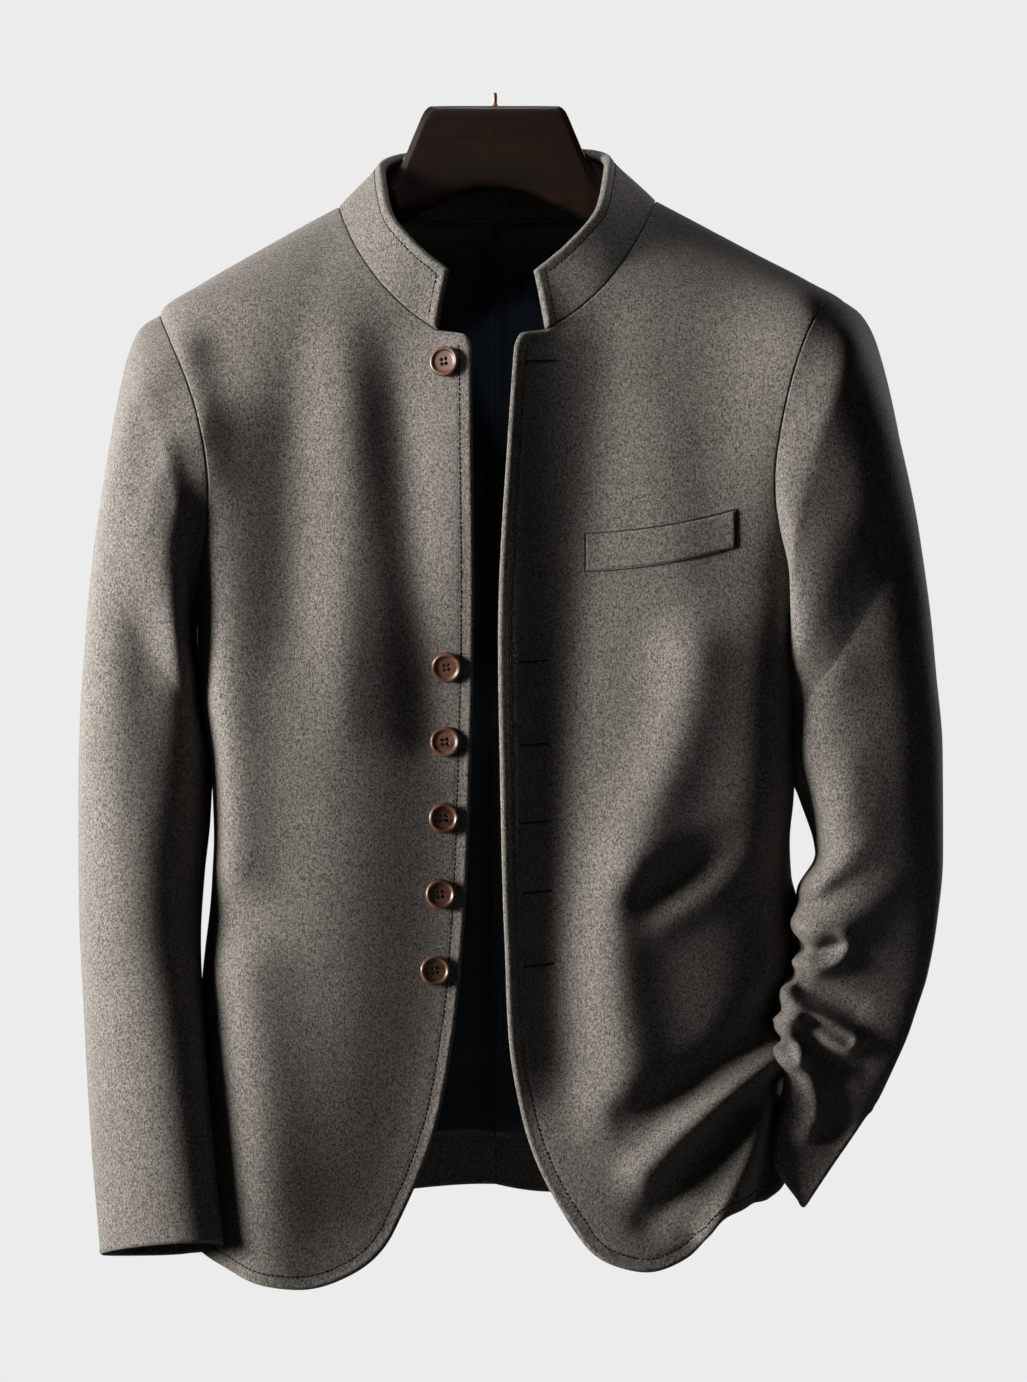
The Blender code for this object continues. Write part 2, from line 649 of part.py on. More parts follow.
def chest_welt():
    """The welt on the left front, from the panel's own points moved out."""
    s = np.linspace(0, 1, WELT_COLUMNS + 1)[None, :]
    t = np.linspace(0, 1, WELT_ROWS + 1)[:, None]
    x = WELT_INNER["x"] + (WELT_OUTER["x"] - WELT_INNER["x"]) * s + 0 * t
    top = WELT_INNER["top"] + (WELT_OUTER["top"] - WELT_INNER["top"]) * s
    bottom = WELT_INNER["bottom"] + (WELT_OUTER["bottom"] - WELT_INNER["bottom"]) * s
    z = bottom + (top - bottom) * t - WELT_SAG * 4 * s * (1 - s)
    surface, outward = torso_surface(LEFT)
    turn = turn_at(LEFT, x, z)
    out = outward(turn, z)
    # A facet of the coarser panel can stand out past the true form, so the welt clears it by that much.
    clear = SEAM_GAP + 0.25
    points = surface(turn, z) + (clear + WELT_WALL) * out
    return add_wall("chest_welt", points, out, WELT_WALL, WOOL)


def back_lining(side, points, out):
    """Half of the back lining with its share of the centre pleat, from a back's points moved in."""
    last = GRID[side]["side_rows"] + ARM_ROWS - BACK_NECK_ROWS + LINING_NECK_ROWS
    points = points[LINING_FIRST_ROW:last + 1, :-1]
    out = out[LINING_FIRST_ROW:last + 1, :-1]
    pleat = PLEAT["height"] * np.exp(-(points[..., :1] / PLEAT["width"]) ** 2)
    return points - (BACK_WALL + SEAM_GAP + pleat) * out, out


def add_button(number, height):
    """A dished button with a raised rim and four holes, facing along the panel's normal."""
    edge = through(FRONT_EDGE[RIGHT], np.linspace(0, 1, 200))
    x = np.interp(height, edge[:, 1], edge[:, 0]) - BUTTON_INSET
    surface, outward = torso_surface(RIGHT)
    z = np.array([float(height)])
    turn = turn_at(RIGHT, np.array([x]), z)
    out = outward(turn, z)[0]
    seat = surface(turn, z)[0] + (SEAM_GAP + 0.25) * out
    radius, thick = BUTTON["radius"], BUTTON["thick"]
    profile = (
        (0.0, 0.0), (radius - 1.6, 0.0), (radius, 1.5), (radius - 0.3, thick - 0.5), (radius - 1.2, thick),
        (radius - 1.2 - BUTTON["rim"], thick - BUTTON["dish"]), (0.0, thick - BUTTON["dish"] - 0.3),
    )
    body = bmesh.new()
    line = [body.verts.new((r * MM, 0, h * MM)) for r, h in profile]
    edges = [body.edges.new(pair) for pair in zip(line, line[1:])]
    bmesh.ops.spin(body, geom=line + edges, cent=(0, 0, 0), axis=(0, 0, 1), angle=2 * math.pi,
                   steps=BUTTON["steps"], use_merge=True)
    bmesh.ops.remove_doubles(body, verts=body.verts, dist=1e-6)
    bmesh.ops.recalc_face_normals(body, faces=body.faces)
    mesh = bpy.data.meshes.new(f"button_{number}")
    body.to_mesh(mesh)
    body.free()
    item = bpy.data.objects.new(f"button_{number}", mesh)
    bpy.context.collection.objects.link(item)
    mesh.materials.append(add_material(*HORN))
    cutter = bmesh.new()
    for quarter in range(4):
        angle = math.pi / 4 + quarter * QUARTER
        hole = bmesh.ops.create_cone(cutter, cap_ends=True, segments=6, radius1=BUTTON["hole_radius"] * MM,
                                     radius2=BUTTON["hole_radius"] * MM, depth=4 * thick * MM)
        reach = BUTTON["hole_reach"] * MM
        bmesh.ops.translate(cutter, verts=hole["verts"], vec=(reach * math.cos(angle), reach * math.sin(angle), 0))
    tool_mesh = bpy.data.meshes.new("hole_tool")
    cutter.to_mesh(tool_mesh)
    cutter.free()
    tool = bpy.data.objects.new("hole_tool", tool_mesh)
    bpy.context.collection.objects.link(tool)
    cut = item.modifiers.new("holes", "BOOLEAN")
    cut.operation = "DIFFERENCE"
    cut.solver = "EXACT"
    cut.object = tool
    graph = bpy.context.evaluated_depsgraph_get()
    cut_mesh = bpy.data.meshes.new_from_object(item.evaluated_get(graph))
    item.modifiers.clear()
    item.data = cut_mesh
    bpy.data.objects.remove(tool)
    across = unit(np.array([1.0, 0, 0]) - out[0] * out)
    up = np.cross(out, across)
    spots = np.empty(len(cut_mesh.vertices) * 3)
    cut_mesh.vertices.foreach_get("co", spots)
    spots = spots.reshape(-1, 3) @ np.stack([across, up, out]) + seat * MM
    cut_mesh.vertices.foreach_set("co", spots.ravel())
    cut_mesh.update()
    return item


def add_hanger():
    """The hanger: rounded sections along its length, the arms just under the shoulder seams."""
    angle = np.linspace(0, 2 * math.pi, HANGER_POINTS, endpoint=False) + math.pi / HANGER_POINTS
    rings = []
    for side in (RIGHT, LEFT):
        half = []
        ridge_z = np.linspace(SEAMS[side]["neck"], SEAMS[side]["shoulder"], 60)
        ridge_x = half_width(side, ridge_z)
        slope = np.gradient(ridge_z, ridge_x)
        under = ridge_z - (FRONT_WALL + SEAM_GAP + 0.2) * np.sqrt(1 + slope ** 2)
        for x, top, bottom, thick, square in zip(*(HANGER[name] for name in HANGER)):
            if x > HANGER_FREE_FROM:
                top = np.interp(x, ridge_x, under)
            half.append(hanger_ring(side * x, top, bottom, thick, square, angle))
        tip = half[-1].mean(axis=0)
        end = tip + (half[-1] - tip) * HANGER_TIP["share"]
        end[:, 0] += side * HANGER_TIP["length"]
        end[:, 2] -= HANGER_TIP["length"] * 0.6
        half.append(end)
        rings = half[::-1] if side == RIGHT else rings[:-1] + half
    return add_loft("hanger", rings, WOOD)


def hanger_ring(x, top, bottom, thick, square, angle):
    """One section of the hanger: a rounded box between its top and bottom height."""
    reach = (np.abs(np.cos(angle)) ** square + np.abs(np.sin(angle)) ** square) ** (-1 / square)
    y = thick * reach * np.cos(angle)
    z = (top + bottom) / 2 + (top - bottom) / 2 * reach * np.sin(angle)
    top_reach = (top - bottom) / 2 * np.max(reach * np.sin(angle))
    z = (top + bottom) / 2 + (z - (top + bottom) / 2) * (top - bottom) / 2 / top_reach
    return np.stack([np.full(len(angle), float(x)), y, z], axis=-1)


def add_stem():
    """The short pin of the hook that stands on the hanger, its top at the origin."""
    angle = np.linspace(0, 2 * math.pi, STEM["steps"], endpoint=False)
    rings = []
    for height, share in ((-STEM["length"], 1.15), (-STEM["length"] + 2, 1.0), (-0.4, 1.0), (0, 0.8)):
        reach = STEM["radius"] * share
        ring = np.stack([reach * np.cos(angle), reach * np.sin(angle), np.full(len(angle), float(height))], axis=-1)
        rings.append(ring)
    return add_loft("hook_stem", rings, COPPER)


def build():
    for item in list(bpy.data.objects):
        bpy.data.objects.remove(item)
    for side, word in ((RIGHT, "right"), (LEFT, "left")):
        add_wall(f"front_{word}", *front_panel(side), FRONT_WALL, WOOL)
        back = back_panel(side)
        add_wall(f"back_{word}", *back, BACK_WALL, WOOL)
        add_wall(f"lining_{word}", *back_lining(side, *back), LINING_WALL, LINING)
        around = 2 * ARM_ROWS
        add_wall(f"upper_sleeve_{word}", *sleeve_piece(side, UNDER_LAST, around + UNDER_FIRST), SLEEVE_WALL, WOOL)
        add_wall(f"under_sleeve_{word}", *sleeve_piece(side, UNDER_FIRST, UNDER_LAST), SLEEVE_WALL, WOOL)
    add_wall("collar", *collar_band(), COLLAR_WALL, WOOL)
    chest_welt()
    for number, height in enumerate(BUTTON_HEIGHTS, 1):
        add_button(number, height)
    add_hanger()
    add_stem()


build()
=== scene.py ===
"""Looks of a stand collar blazer that hangs open on a dark wooden hanger.

Lengths are in millimetres and become metres when a mesh is made.  The frame is the part's own: the
origin is the top of the hook stem, +Z is up, the front faces -Y, and sides are the wearer's, so
"right" lies at -X and "left" at +X.

The torso is one form of level oval sections.  A place on it is a turn, 0 at the front middle, a
quarter turn at the side seam and half a turn at the back, and a height.  Fronts and backs are
patches of that form, the sleeves are rings whose first ring is the armhole, and each piece of cloth
is a closed wall that thins to nothing at a seam and swells to a bead at a free edge.
"""
import math
from collections import namedtuple

import bpy
import numpy as np
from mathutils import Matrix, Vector


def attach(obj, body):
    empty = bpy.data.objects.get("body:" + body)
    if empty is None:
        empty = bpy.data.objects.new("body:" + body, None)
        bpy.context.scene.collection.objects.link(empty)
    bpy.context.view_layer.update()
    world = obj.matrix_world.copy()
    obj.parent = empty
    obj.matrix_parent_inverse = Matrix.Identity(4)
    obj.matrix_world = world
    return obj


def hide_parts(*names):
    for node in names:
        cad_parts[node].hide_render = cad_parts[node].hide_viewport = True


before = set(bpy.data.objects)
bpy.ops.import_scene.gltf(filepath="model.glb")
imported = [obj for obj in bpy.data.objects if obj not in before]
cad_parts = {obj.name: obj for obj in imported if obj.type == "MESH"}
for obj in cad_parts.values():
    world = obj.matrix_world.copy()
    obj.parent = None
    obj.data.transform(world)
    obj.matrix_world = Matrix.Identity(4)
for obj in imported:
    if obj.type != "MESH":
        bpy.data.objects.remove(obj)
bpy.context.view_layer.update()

MM = 0.001
QUARTER = math.pi / 2
RIGHT = -1
LEFT = 1
SIDES = ((RIGHT, "right"), (LEFT, "left"))

AHEAD = np.array([0.0, -1.0, 0.0])
UP = np.array([0, 0, 1])
LEVEL = np.array([1, 1, 0])
NO_X = np.array([0, 1, 1])
TINY = dict(length=1e-9, square=1e-12)
CURVE_SAMPLES = 200
# The most pairs of points that are compared in one go, for gaps and for seating thread.
GAP_PAIRS = 300000
SEAT_PAIRS = 3000000

CLOTH = 2.8
SEAM_ROUND = 1.3
EDGE_ROUND = 2.3
EDGE_BEAD = dict(height=0.45, place=2.4, width=2.0)
STITCH_INSET = 8.6
STITCH_SINK = dict(depth=0.35, width=1.0)
NO_STITCH = -20
STITCH_CLEAR = 0.97
SEAM_LEAN = 6.0
GAP_REACH = 16
GAP_SKIP = 8
NORMAL_STEP = (0.004, 0.8)
SLEEVE_NORMAL_STEP = (0.006, 0.0012)


def table(columns, *rows):
    """The rows as one array for each named column."""
    return dict(zip(columns.split(), np.array(rows, float).T))


Fold = namedtuple("Fold", "first last width path ease fade", defaults=(0, 0))
Fold.__doc__ = """A soft ridge (plus) or trough (minus): height at both ends, half width, path in the front
view, and the shares of the path over which it eases in from nothing and fades out to nothing."""

# Level sections of the torso: half widths, depth of both fronts and of the back, and how square each is.
TORSO = table(
    "z right left front_right front_left back square_right square_left square_back",
    (-60, 70, 84, 18, 18, 30, 2.0, 2.0, 2.0),
    (-75, 101, 112, 29, 29, 41, 2.05, 2.05, 2.05),
    (-90, 129, 140, 41, 41, 53, 2.1, 2.1, 2.1),
    (-110, 164, 176, 54, 57, 63, 2.3, 2.5, 2.15),
    (-130, 197, 210, 66, 73, 71, 2.6, 3.2, 2.25),
    (-150, 224, 236, 74, 83, 76, 2.9, 3.9, 2.35),
    (-175, 226, 238, 78, 89, 82, 3.2, 4.4, 2.5),
    (-200, 222, 232, 81, 92, 86, 3.5, 4.6, 2.6),
    (-260, 212, 219, 84, 96, 90, 4.0, 4.3, 2.75),
    (-355, 198, 204.5, 85, 98, 88, 4.0, 4.0, 2.9),
    (-400, 196, 200.5, 85, 98, 83, 4.0, 4.0, 2.95),
    (-450, 188.5, 199.5, 85, 97, 77, 4.0, 4.0, 3.0),
    (-475, 187, 198.5, 85, 97, 77, 4.0, 3.8, 3.0),
    (-500, 186.3, 196.5, 86, 97, 78, 4.0, 3.5, 3.0),
    (-525, 187.5, 198, 87, 97, 79, 4.0, 3.2, 3.0),
    (-545, 189.3, 202.5, 88, 97, 79.5, 4.0, 3.0, 3.0),
    (-575, 193, 202, 90, 98, 81, 3.8, 3.2, 3.0),
    (-610, 196.5, 198.5, 93, 100, 84, 3.6, 3.4, 3.0),
    (-650, 199, 197, 97, 102, 88, 3.6, 3.6, 3.0),
    (-700, 200, 195, 102, 105, 91, 3.6, 3.6, 3.0),
    (-775, 201, 191, 108, 110, 95, 3.4, 3.4, 3.0),
    (-830, 201, 191, 111, 112, 97, 3.0, 3.0, 3.0),
)
SEAMS = {
    RIGHT: dict(neck=-77, shoulder=-150, armpit=-355, side_hem=-766, cut_in_front=24.5, cut_in_back=15,
                bow_up=2.3, bow_low=2.8),
    LEFT: dict(neck=-73, shoulder=-145, armpit=-355, side_hem=-727, cut_in_front=37, cut_in_back=20,
               bow_up=0.7, bow_low=2.3),
}
ARMPIT_LEAN = 0.6
ARMPIT_DIP = 32
CENTRE_HEM = -748
CENTRE_NECK = -78
TURN_REACH = 110

# Front edge from the hem corner up to the top step, the hem from that corner to the side, the back
# hem, and the necklines, as (distance from the middle, height).  The lift is the neckline's slant at
# its front end, the shoulder and the back.
FRONT_EDGE = {
    RIGHT: ((-62, -746), (-39, -690), (-27, -630), (-19, -545), (-15, -440), (-13, -344), (-14, -230),
            (-14.5, -171.3)),
    LEFT: ((52, -748), (26, -702), (12, -645), (7, -565), (4, -460), (3, -344), (9, -240), (14, -172.2)),
}
FRONT_HEM = {
    RIGHT: ((-62, -746), (-92, -778), (-121, -787), (-150, -784.5), (-176, -775)),
    LEFT: ((52, -748), (78, -771), (102, -775), (124, -767), (139, -752), (151, -741), (167, -738),
           (181, -733)),
}
BACK_HEM = {
    RIGHT: ((-70, -754), (-140, -765)),
    LEFT: ((70, -754), (140, -751), (176, -744)),
}
FRONT_NECK = {
    RIGHT: ((37, -168), (72, -138.5), (93, -107)),
    LEFT: ((33.5, -169), (71, -139.5), (93, -107)),
}
BACK_NECK = ((60, -76.5),)
NECK_LIFT = (0.25, 1.2, 0.5)

# A row number runs up a panel: the hem is 0, then the armpit, the top of the front edge, the collar
# end, the back neck and the shoulder seam.
ARMPIT_ROW = 15
EDGE_ROW = 20
COLLAR_ROW = 21
BACK_NECK_ROW = 21
SHOULDER_ROW = 26
CORNER = dict(soft=0.3, reach=0.4, samples=9)
ROW_APART = 0.01

# Distances from a free edge and from a seam at which a wall has points, then the even step between.
FREE_NEAR = (0, 0.25, 0.6, 1.1, 1.7, 2.4, 3.3, 4.5, 6, 7.2, 8, 8.6, 9.2, 10, 11.4, 13.4)
SEAM_NEAR = (0, 0.3, 0.7, 1.2, 1.8, 3, 5)
# The place, in points from a free edge, that shows which way the piece lies.
INSIDE = 9
PANEL_STEP = 2.9
BACK_STEP = 4.2
PANEL_WIDTH = 205
ROW_LENGTH = 26
SHOULDER_ROW_LENGTH = 13
# Samples that measure the length round half an armhole, packed towards the shoulder.
ARMHOLE_SAMPLES = 4001
ARMHOLE_PACK = 6

FRONT_FOLDS = {
    RIGHT: (
        Fold(8, 1, 20, ((-15, -180), (-14, -240), (-13, -310))),
        Fold(18, 8, 18, ((-209, -180), (-207, -195), (-202, -225), (-197, -258))),
        Fold(14, 19, 29, ((-192, -235), (-187, -300), (-184, -400), (-181, -512))),
        Fold(13, 11, 30, ((-168, -590), (-158, -660), (-152, -770))),
        Fold(-2, -1, 14, ((-111, -106), (-115, -128), (-122, -150))),
        Fold(-7, -4, 19, ((-122, -128), (-128, -175), (-130, -230), (-130, -318), (-132, -410)), 0.4, 0.2),
        Fold(2, 2, 16, ((-98, -175), (-95, -234), (-95, -318), (-98, -420))),
        Fold(-10, -5, 18, ((-74, -135), (-67, -180), (-62, -234), (-54, -318), (-48, -380), (-44, -430)),
             0.35),
        Fold(-19, -22, 60, ((-18, -410), (-20, -500), (-28, -620), (-52, -730))),
    ),
    LEFT: (
        Fold(14, 8, 24, ((6, -175), (4, -260), (2, -344), (3, -450), (6, -560), (14, -650))),
        Fold(-4, -7, 22, ((70, -175), (62, -260), (52, -360), (44, -460), (38, -560), (38, -640))),
        Fold(30, 12, 46, ((215, -182), (207, -228), (198, -270), (196, -330))),
        Fold(3, 4, 26, ((112, -240), (116, -300), (126, -360))),
        Fold(18, 12, 48, ((179, -395), (181, -480))),
        Fold(10, 9, 23, ((126, -385), (119, -430), (104, -473), (88, -512), (80, -551), (81, -600),
                         (86, -640), (80, -668))),
        Fold(3, 3, 15, ((70, -537), (95, -515), (120, -499), (158, -472)), 0.3, 0.5),
        Fold(-6, -6, 14, ((76, -553), (107, -531), (131, -515), (172, -486)), 0.3, 0.5),
        Fold(4, 4, 13, ((88, -567), (119, -545), (142, -529), (180, -501)), 0.3, 0.5),
        Fold(-5, -14, 13, ((86, -674), (113, -663), (136, -650), (156, -637), (173, -622), (186, -611))),
        Fold(9, 17, 13, ((97, -710), (127, -683), (143, -671), (158, -660), (174, -651), (188, -642))),
        Fold(-4, -15, 11, ((100, -742), (118, -722), (133, -702), (146, -688), (156, -677), (166, -668),
                           (182, -658))),
        Fold(8, 11, 10, ((140, -750), (152, -730), (160, -715), (167, -700), (172, -684), (176, -668))),
        Fold(-15, -14, 7, ((169, -742), (176, -716), (182, -695), (187, -676), (192, -660))),
    ),
}
BACK_FOLDS = (
    Fold(-3, -5, 26, ((-125, -400), (-132, -560), (-130, -770))),
    Fold(3, 6, 30, ((-70, -330), (-64, -520), (-70, -770))),
    Fold(-3, -5, 24, ((22, -430), (20, -600), (26, -760))),
    Fold(4, 6, 28, ((96, -360), (84, -540), (88, -760))),
    Fold(-3, -3, 22, ((-30, -250), (-22, -420), (-20, -640))),
    Fold(3, 2, 14, ((-150, -330), (-100, -352), (-40, -358))),
    Fold(3, 2, 14, ((152, -325), (104, -350), (48, -356))),
    Fold(-4, -2, 13, ((160, -600), (120, -618), (74, -622))),
    Fold(4, 3, 12, ((168, -622), (124, -640), (80, -645))),
)

# Rings of the sleeves: outer and inner point in the front view, middle depth, half depth to the
# front and to the back, how far the front of the ring drops below its middle, how square the ring
# is, how far its front leans to the inner side, and how far the inner point lies ahead of the middle.
SLEEVE_COLUMNS = "outer_x outer_z inner_x inner_z middle_y front back drop square tilt slant"
SLEEVE = {
    RIGHT: table(
        SLEEVE_COLUMNS,
        (-224, -150, -197, -355, 0, 48, 46, 0, 2.0, 0, 0),
        (-237, -159, -201, -363, -2, 52, 50, 0, 2.0, 0, 0),
        (-246, -180, -201, -372, -4, 60, 53, 0, 2.1, 0, 0),
        (-258, -255, -197, -402, -12, 68, 58, 0, 3.2, 0, 0),
        (-269, -342, -188.5, -442, -21, 60, 60, 0, 2.9, 0, 0),
        (-275, -442, -189.5, -488, -29, 55, 58, 0, 2.5, 0, 0),
        (-275.5, -492, -192.5, -525, -33, 53, 56, 0, 2.2, 0, 2),
        (-275, -542, -194, -560, -38, 48, 52, 0, 2.1, 0, 4),
        (-271, -608, -191, -605, -51, 42, 44, -2, 2.1, 0, 8),
        (-264.5, -693, -183.5, -685, -68, 37, 36, -6, 2.1, 0, 11),
        (-257, -771, -174.5, -760, -78, 35, 34, -9, 2.1, 0, 12),
    ),
    LEFT: table(
        SLEEVE_COLUMNS,
        (231.5, -145, 203.5, -355, 0, 48, 46, 0, 2.0, 0, 0),
        (244, -154, 200, -363, -2, 57, 50, 0, 2.2, 0.1, 0),
        (254, -172, 197, -372, -4, 63, 53, 0, 2.8, 0.12, 0),
        (271, -241, 192, -404, -13, 72, 56, 0, 3.5, 0.1, 0),
        (285, -335, 193, -447, -25, 66, 54, 0, 3.5, 0.1, 0),
        (291, -391, 203, -475, -32, 60, 52, 0, 3.2, 0.16, 0),
        (295, -442, 213, -510, -38, 53, 50, 0, 3.0, 0.2, 0),
        (294.5, -511, 199.5, -537, -46, 43, 46, 0, 3.6, 0.2, 2),
        (290.5, -553, 199, -561, -50, 31, 40, 0, 4.4, 0.16, 4),
        (284, -589, 196, -583, -54, 22, 36, 0, 5.0, 0.12, 6),
        (277.5, -609, 187.5, -598, -57, 18, 34, 0, 5.0, 0.12, 6),
        (270.5, -629, 190.5, -616, -60, 15, 34, 0, 5.0, 0.12, 6),
        (264, -643, 186.5, -634, -62, 13, 35, 1, 5.0, 0.12, 6),
        (257.5, -657, 189.5, -657, -63, 12, 38, 1, 4.4, 0.12, 6),
        (252.5, -668, 184, -685, -63, 11, 38, 0, 4.0, 0.12, 6),
        (248.5, -675, 182, -707, -63, 11, 38, -1, 4.0, 0.12, 6),
        (245.5, -680, 201.5, -740, -63, 11, 38, -3, 4.0, 0.12, 6),
    ),
}
SLANT_THIN = 40
CAP_LENGTH = 0.24
CAP_EASE = 1.35
FOLD_FREE = 0.05
FOLD_EDGE = 0.3
FOLD_AHEAD = 0.8
AROUND = 22
UNDER_FIRST = 10
UNDER_LAST = 15
SLEEVE_LENGTH = {RIGHT: 545, LEFT: 520}
SLEEVE_SAMPLES = 2000
SLEEVE_STEP = {RIGHT: ((0, 3.4), (545, 3.4)), LEFT: ((0, 3.4), (260, 3.0), (310, 1.8), (520, 1.8))}
RING_LENGTH = 300
RING_STEP = {RIGHT: 3.0, LEFT: 2.3}

SLEEVE_FOLDS = {
    RIGHT: (
        Fold(1, 3, 13, ((-213, -290), (-205, -323), (-199, -356), (-196, -390))),
        Fold(-3, -1, 16, ((-226, -365), (-221, -410), (-216, -460))),
    ),
    LEFT: (
        Fold(3, 5, 24, ((226, -190), (232, -240), (238, -290), (246, -335), (248, -360))),
        Fold(3, 3, 20, ((219, -310), (221, -345), (224, -385))),
        Fold(4, 2, 20, ((216, -175), (210, -215), (206, -250), (205, -300), (208, -350), (214, -400))),
        Fold(1, 5, 12, ((228, -455), (218, -496), (206, -520), (196, -540))),
        Fold(-1, -7, 9, ((236, -522), (222, -532), (206, -540))),
        Fold(1, 6, 10, ((256, -530), (240, -546), (226, -554), (212, -557), (200, -555))),
        Fold(-7, -6, 6, ((222, -566), (212, -570), (200, -570))),
        Fold(5, 7, 6, (
            (225, -562), (226, -570), (222, -577), (211, -581), (200, -579), (193, -583), (190, -589),
            (190, -596), (193, -603), (201, -609), (212, -615), (226, -622), (234, -628), (231, -634),
            (220, -631), (208, -624), (200, -618), (195, -615), (190, -619), (187, -626), (187, -634),
            (190, -641), (194, -643), (197, -638),
        )),
        Fold(-8, -3, 9, ((193, -590), (201, -597), (213, -601), (233, -610))),
        Fold(-7, -7, 3.2, ((187, -629), (190, -632))),
        Fold(6, 4, 6.5, ((194, -615), (195, -622), (197, -633), (201, -645), (205, -656), (208, -667),
                         (208, -678), (203, -689))),
        Fold(-8, -2, 8, ((202, -623), (211, -635), (222, -644), (238, -649))),
        Fold(-2, -3, 9, ((217, -651), (222, -668), (220, -690))),
    ),
}
FOLD_STEPS = 5
FOLD_REACH = 2.6
# How fast folds grow away from the side and shoulder seams, and from the edges of a sleeve's front.
SEAM_FADE = 3
SLEEVE_FADE = 2

# Top edge of the collar against the stations of the neckline (front end 0, shoulder 1, back 2).
COLLAR_TOP = table(
    "station x y z left_in left_up",
    (0.0, 29.5, -79, -129, 4, -0.5),
    (0.35, 51, -71, -110, 2.5, 1),
    (0.7, 69, -52, -84, 0.5, 3),
    (1.0, 74.5, -14, -50, 0, 4),
    (1.5, 52, 22, -36, 0, 2),
    (2.0, 0, 35, -35, 0, 0),
)
COLLAR_BULGE = 0.8
COLLAR_EDGE_HALF = 3.2
COLLAR_STITCH_INSET = 7.2
COLLAR_HEIGHT = 46
COLLAR_STEP = 2.0
COLLAR_ENDS = (0, 0.004, 0.009, 0.016, 0.024, 0.034, 0.046, 0.06, 0.078, 0.098)
COLLAR_RUN = (0.115, 2, 110)
COLLAR_SWELL = dict(reach=9, seam=6)

WELT_INNER = dict(x=58, top=-300.5, bottom=-326)
WELT_OUTER = dict(x=156, top=-285, bottom=-310.5)
WELT_SAG = 3.2
WELT_RISE = 1.7
WELT_ROUND = 1.2
WELT_TUCK = dict(depth=0.9, reach=1.0)
WELT_NEAR = (0, 0.2, 0.5, 0.9, 1.5, 2.2, 3.5)
WELT_GRID = dict(width=104, across=2.5, height=26, up=2.0)
WELT_BACK = 0.2
# Pitch and offset of the dark bars of the welt's outline, partly a seam and partly a painted shade line.
WELT_SEAM_SHADE = dict(pitch=0.9, aside=0.45)

BUTTON_HEIGHTS = (-189.5, -386.5, -436, -485.5, -535, -584.5)
BUTTON_INSET = 17
BUTTON_LIFT = 0.55
# A button's profile from under its middle over the rim to the top of its middle, as (radius, height).
BUTTON_PROFILE = (
    (0.02, 0.0), (7.6, 0.0), (8.8, 0.25), (9.6, 0.9), (10.0, 1.9), (9.95, 2.9), (9.6, 3.7), (9.0, 4.15),
    (8.3, 4.25), (7.7, 4.0), (7.2, 3.5), (6.7, 3.1), (6.0, 2.92), (5.0, 2.86), (4.2, 2.82),
    (3.6, 2.8), (0.5, 2.76), (0.02, 2.76),
)
BUTTON_RINGS = dict(low=34, high=36, change=0.62, points=88)
BUTTON_HOLES = dict(count=4, reach=2.1, radius=1.12, soft=0.3, depth=2.3, turn=0.12)
BUTTON_TOP = 0.5
BUTTON_THREAD = dict(aside=1.48, height=2.95)
BUTTONHOLE_HEIGHTS = (-190, -383.5, -437, -487, -532, -579)
BUTTONHOLE_SHIFTS = (5, 0, 0.5, 0.5, 2.5, 4)
BUTTONHOLE = dict(start=15.5, end=34.5, rise=1.4, bars=34)

BORDER_STEP = 0.8
EDGE_SAMPLES = 300
STITCH_PITCH = 3.2
# Length, width and height of each kind of bar of thread.
BAR_SIZES = dict(
    topstitch=(2.5, 1.1, 0.8), buttonhole=(1.5, 0.8, 0.7), button=(3.6, 0.9, 0.7), welt=(1.1, 1.0, 0.8))
BAR_SHARES = (-0.5, -0.4, 0, 0.4, 0.5)
BAR_SWELL = (0.35, 0.8, 1, 0.8, 0.35)
BAR_SIDES = 6

LINING_WALL = 0.9
LINING_GAP = 0.5
LINING_FIRST_ROW = 1.45
LINING_LAST_ROW = 23.2
LINING_REACH = 0.93
LINING_TUCK = dict(depth=2.4, reach=3.0)
LINING_NEAR = (0, 1, 2.5)
LINING_STEP = 4.5
LINING_ROWS = dict(back=116, neck=16)
LINING_ROUND = 0.6
PLEAT = dict(width=7, height=3.0, top=-84, fade=40)
LINING_FOLDS = (
    Fold(2.5, 1.5, 7, ((22, -95), (25, -180), (22, -330))),
    Fold(2, 2.5, 9, ((44, -100), (40, -230), (44, -500))),
    Fold(2, 3, 12, ((-38, -110), (-34, -260), (-38, -520))),
    Fold(2, 3, 16, ((90, -200), (84, -420), (88, -690))),
    Fold(2, 3, 16, ((-96, -200), (-90, -420), (-92, -690))),
    Fold(2, 2.5, 10, ((20, -420), (24, -560), (18, -700))),
)

HANGER = table(
    "x top bottom half square bevel",
    (0, -10, -64.5, 11, 9.0, 3.0),
    (8, -10, -65, 11, 9.0, 3.0),
    (24, -10, -68.6, 11, 9.0, 3.0),
    (43, -10.2, -77.2, 11, 9.0, 3.0),
    (46, -11.9, -78.5, 11, 8.0, 7.0),
    (54, -28.3, -82, 11, 6.0, 11.0),
    (60.6, -43.8, -86, 11, 5.0, 11.0),
    (66.6, -56, -89, 10.5, 4.0, 9.0),
    (76, -68, -94, 10, 3.0, 5.0),
    (90, -80, -101, 9.5, 2.0, 2.0),
    (112, -95, -116, 9.5, 2.0, 1.0),
    (145, -116, -138, 9.5, 2.0, 1.0),
    (180, -138, -158, 9.5, 2.0, 1.0),
    (204, -153, -168, 9, 2.0, 1.0),
)
HANGER_RINGS = 200
HANGER_POINTS = 144
HANGER_BEVEL = 3.2
HANGER_JOINT = 0.45
HANGER_REACH = 209
HANGER_TIP = dict(length=7, least=0.02)
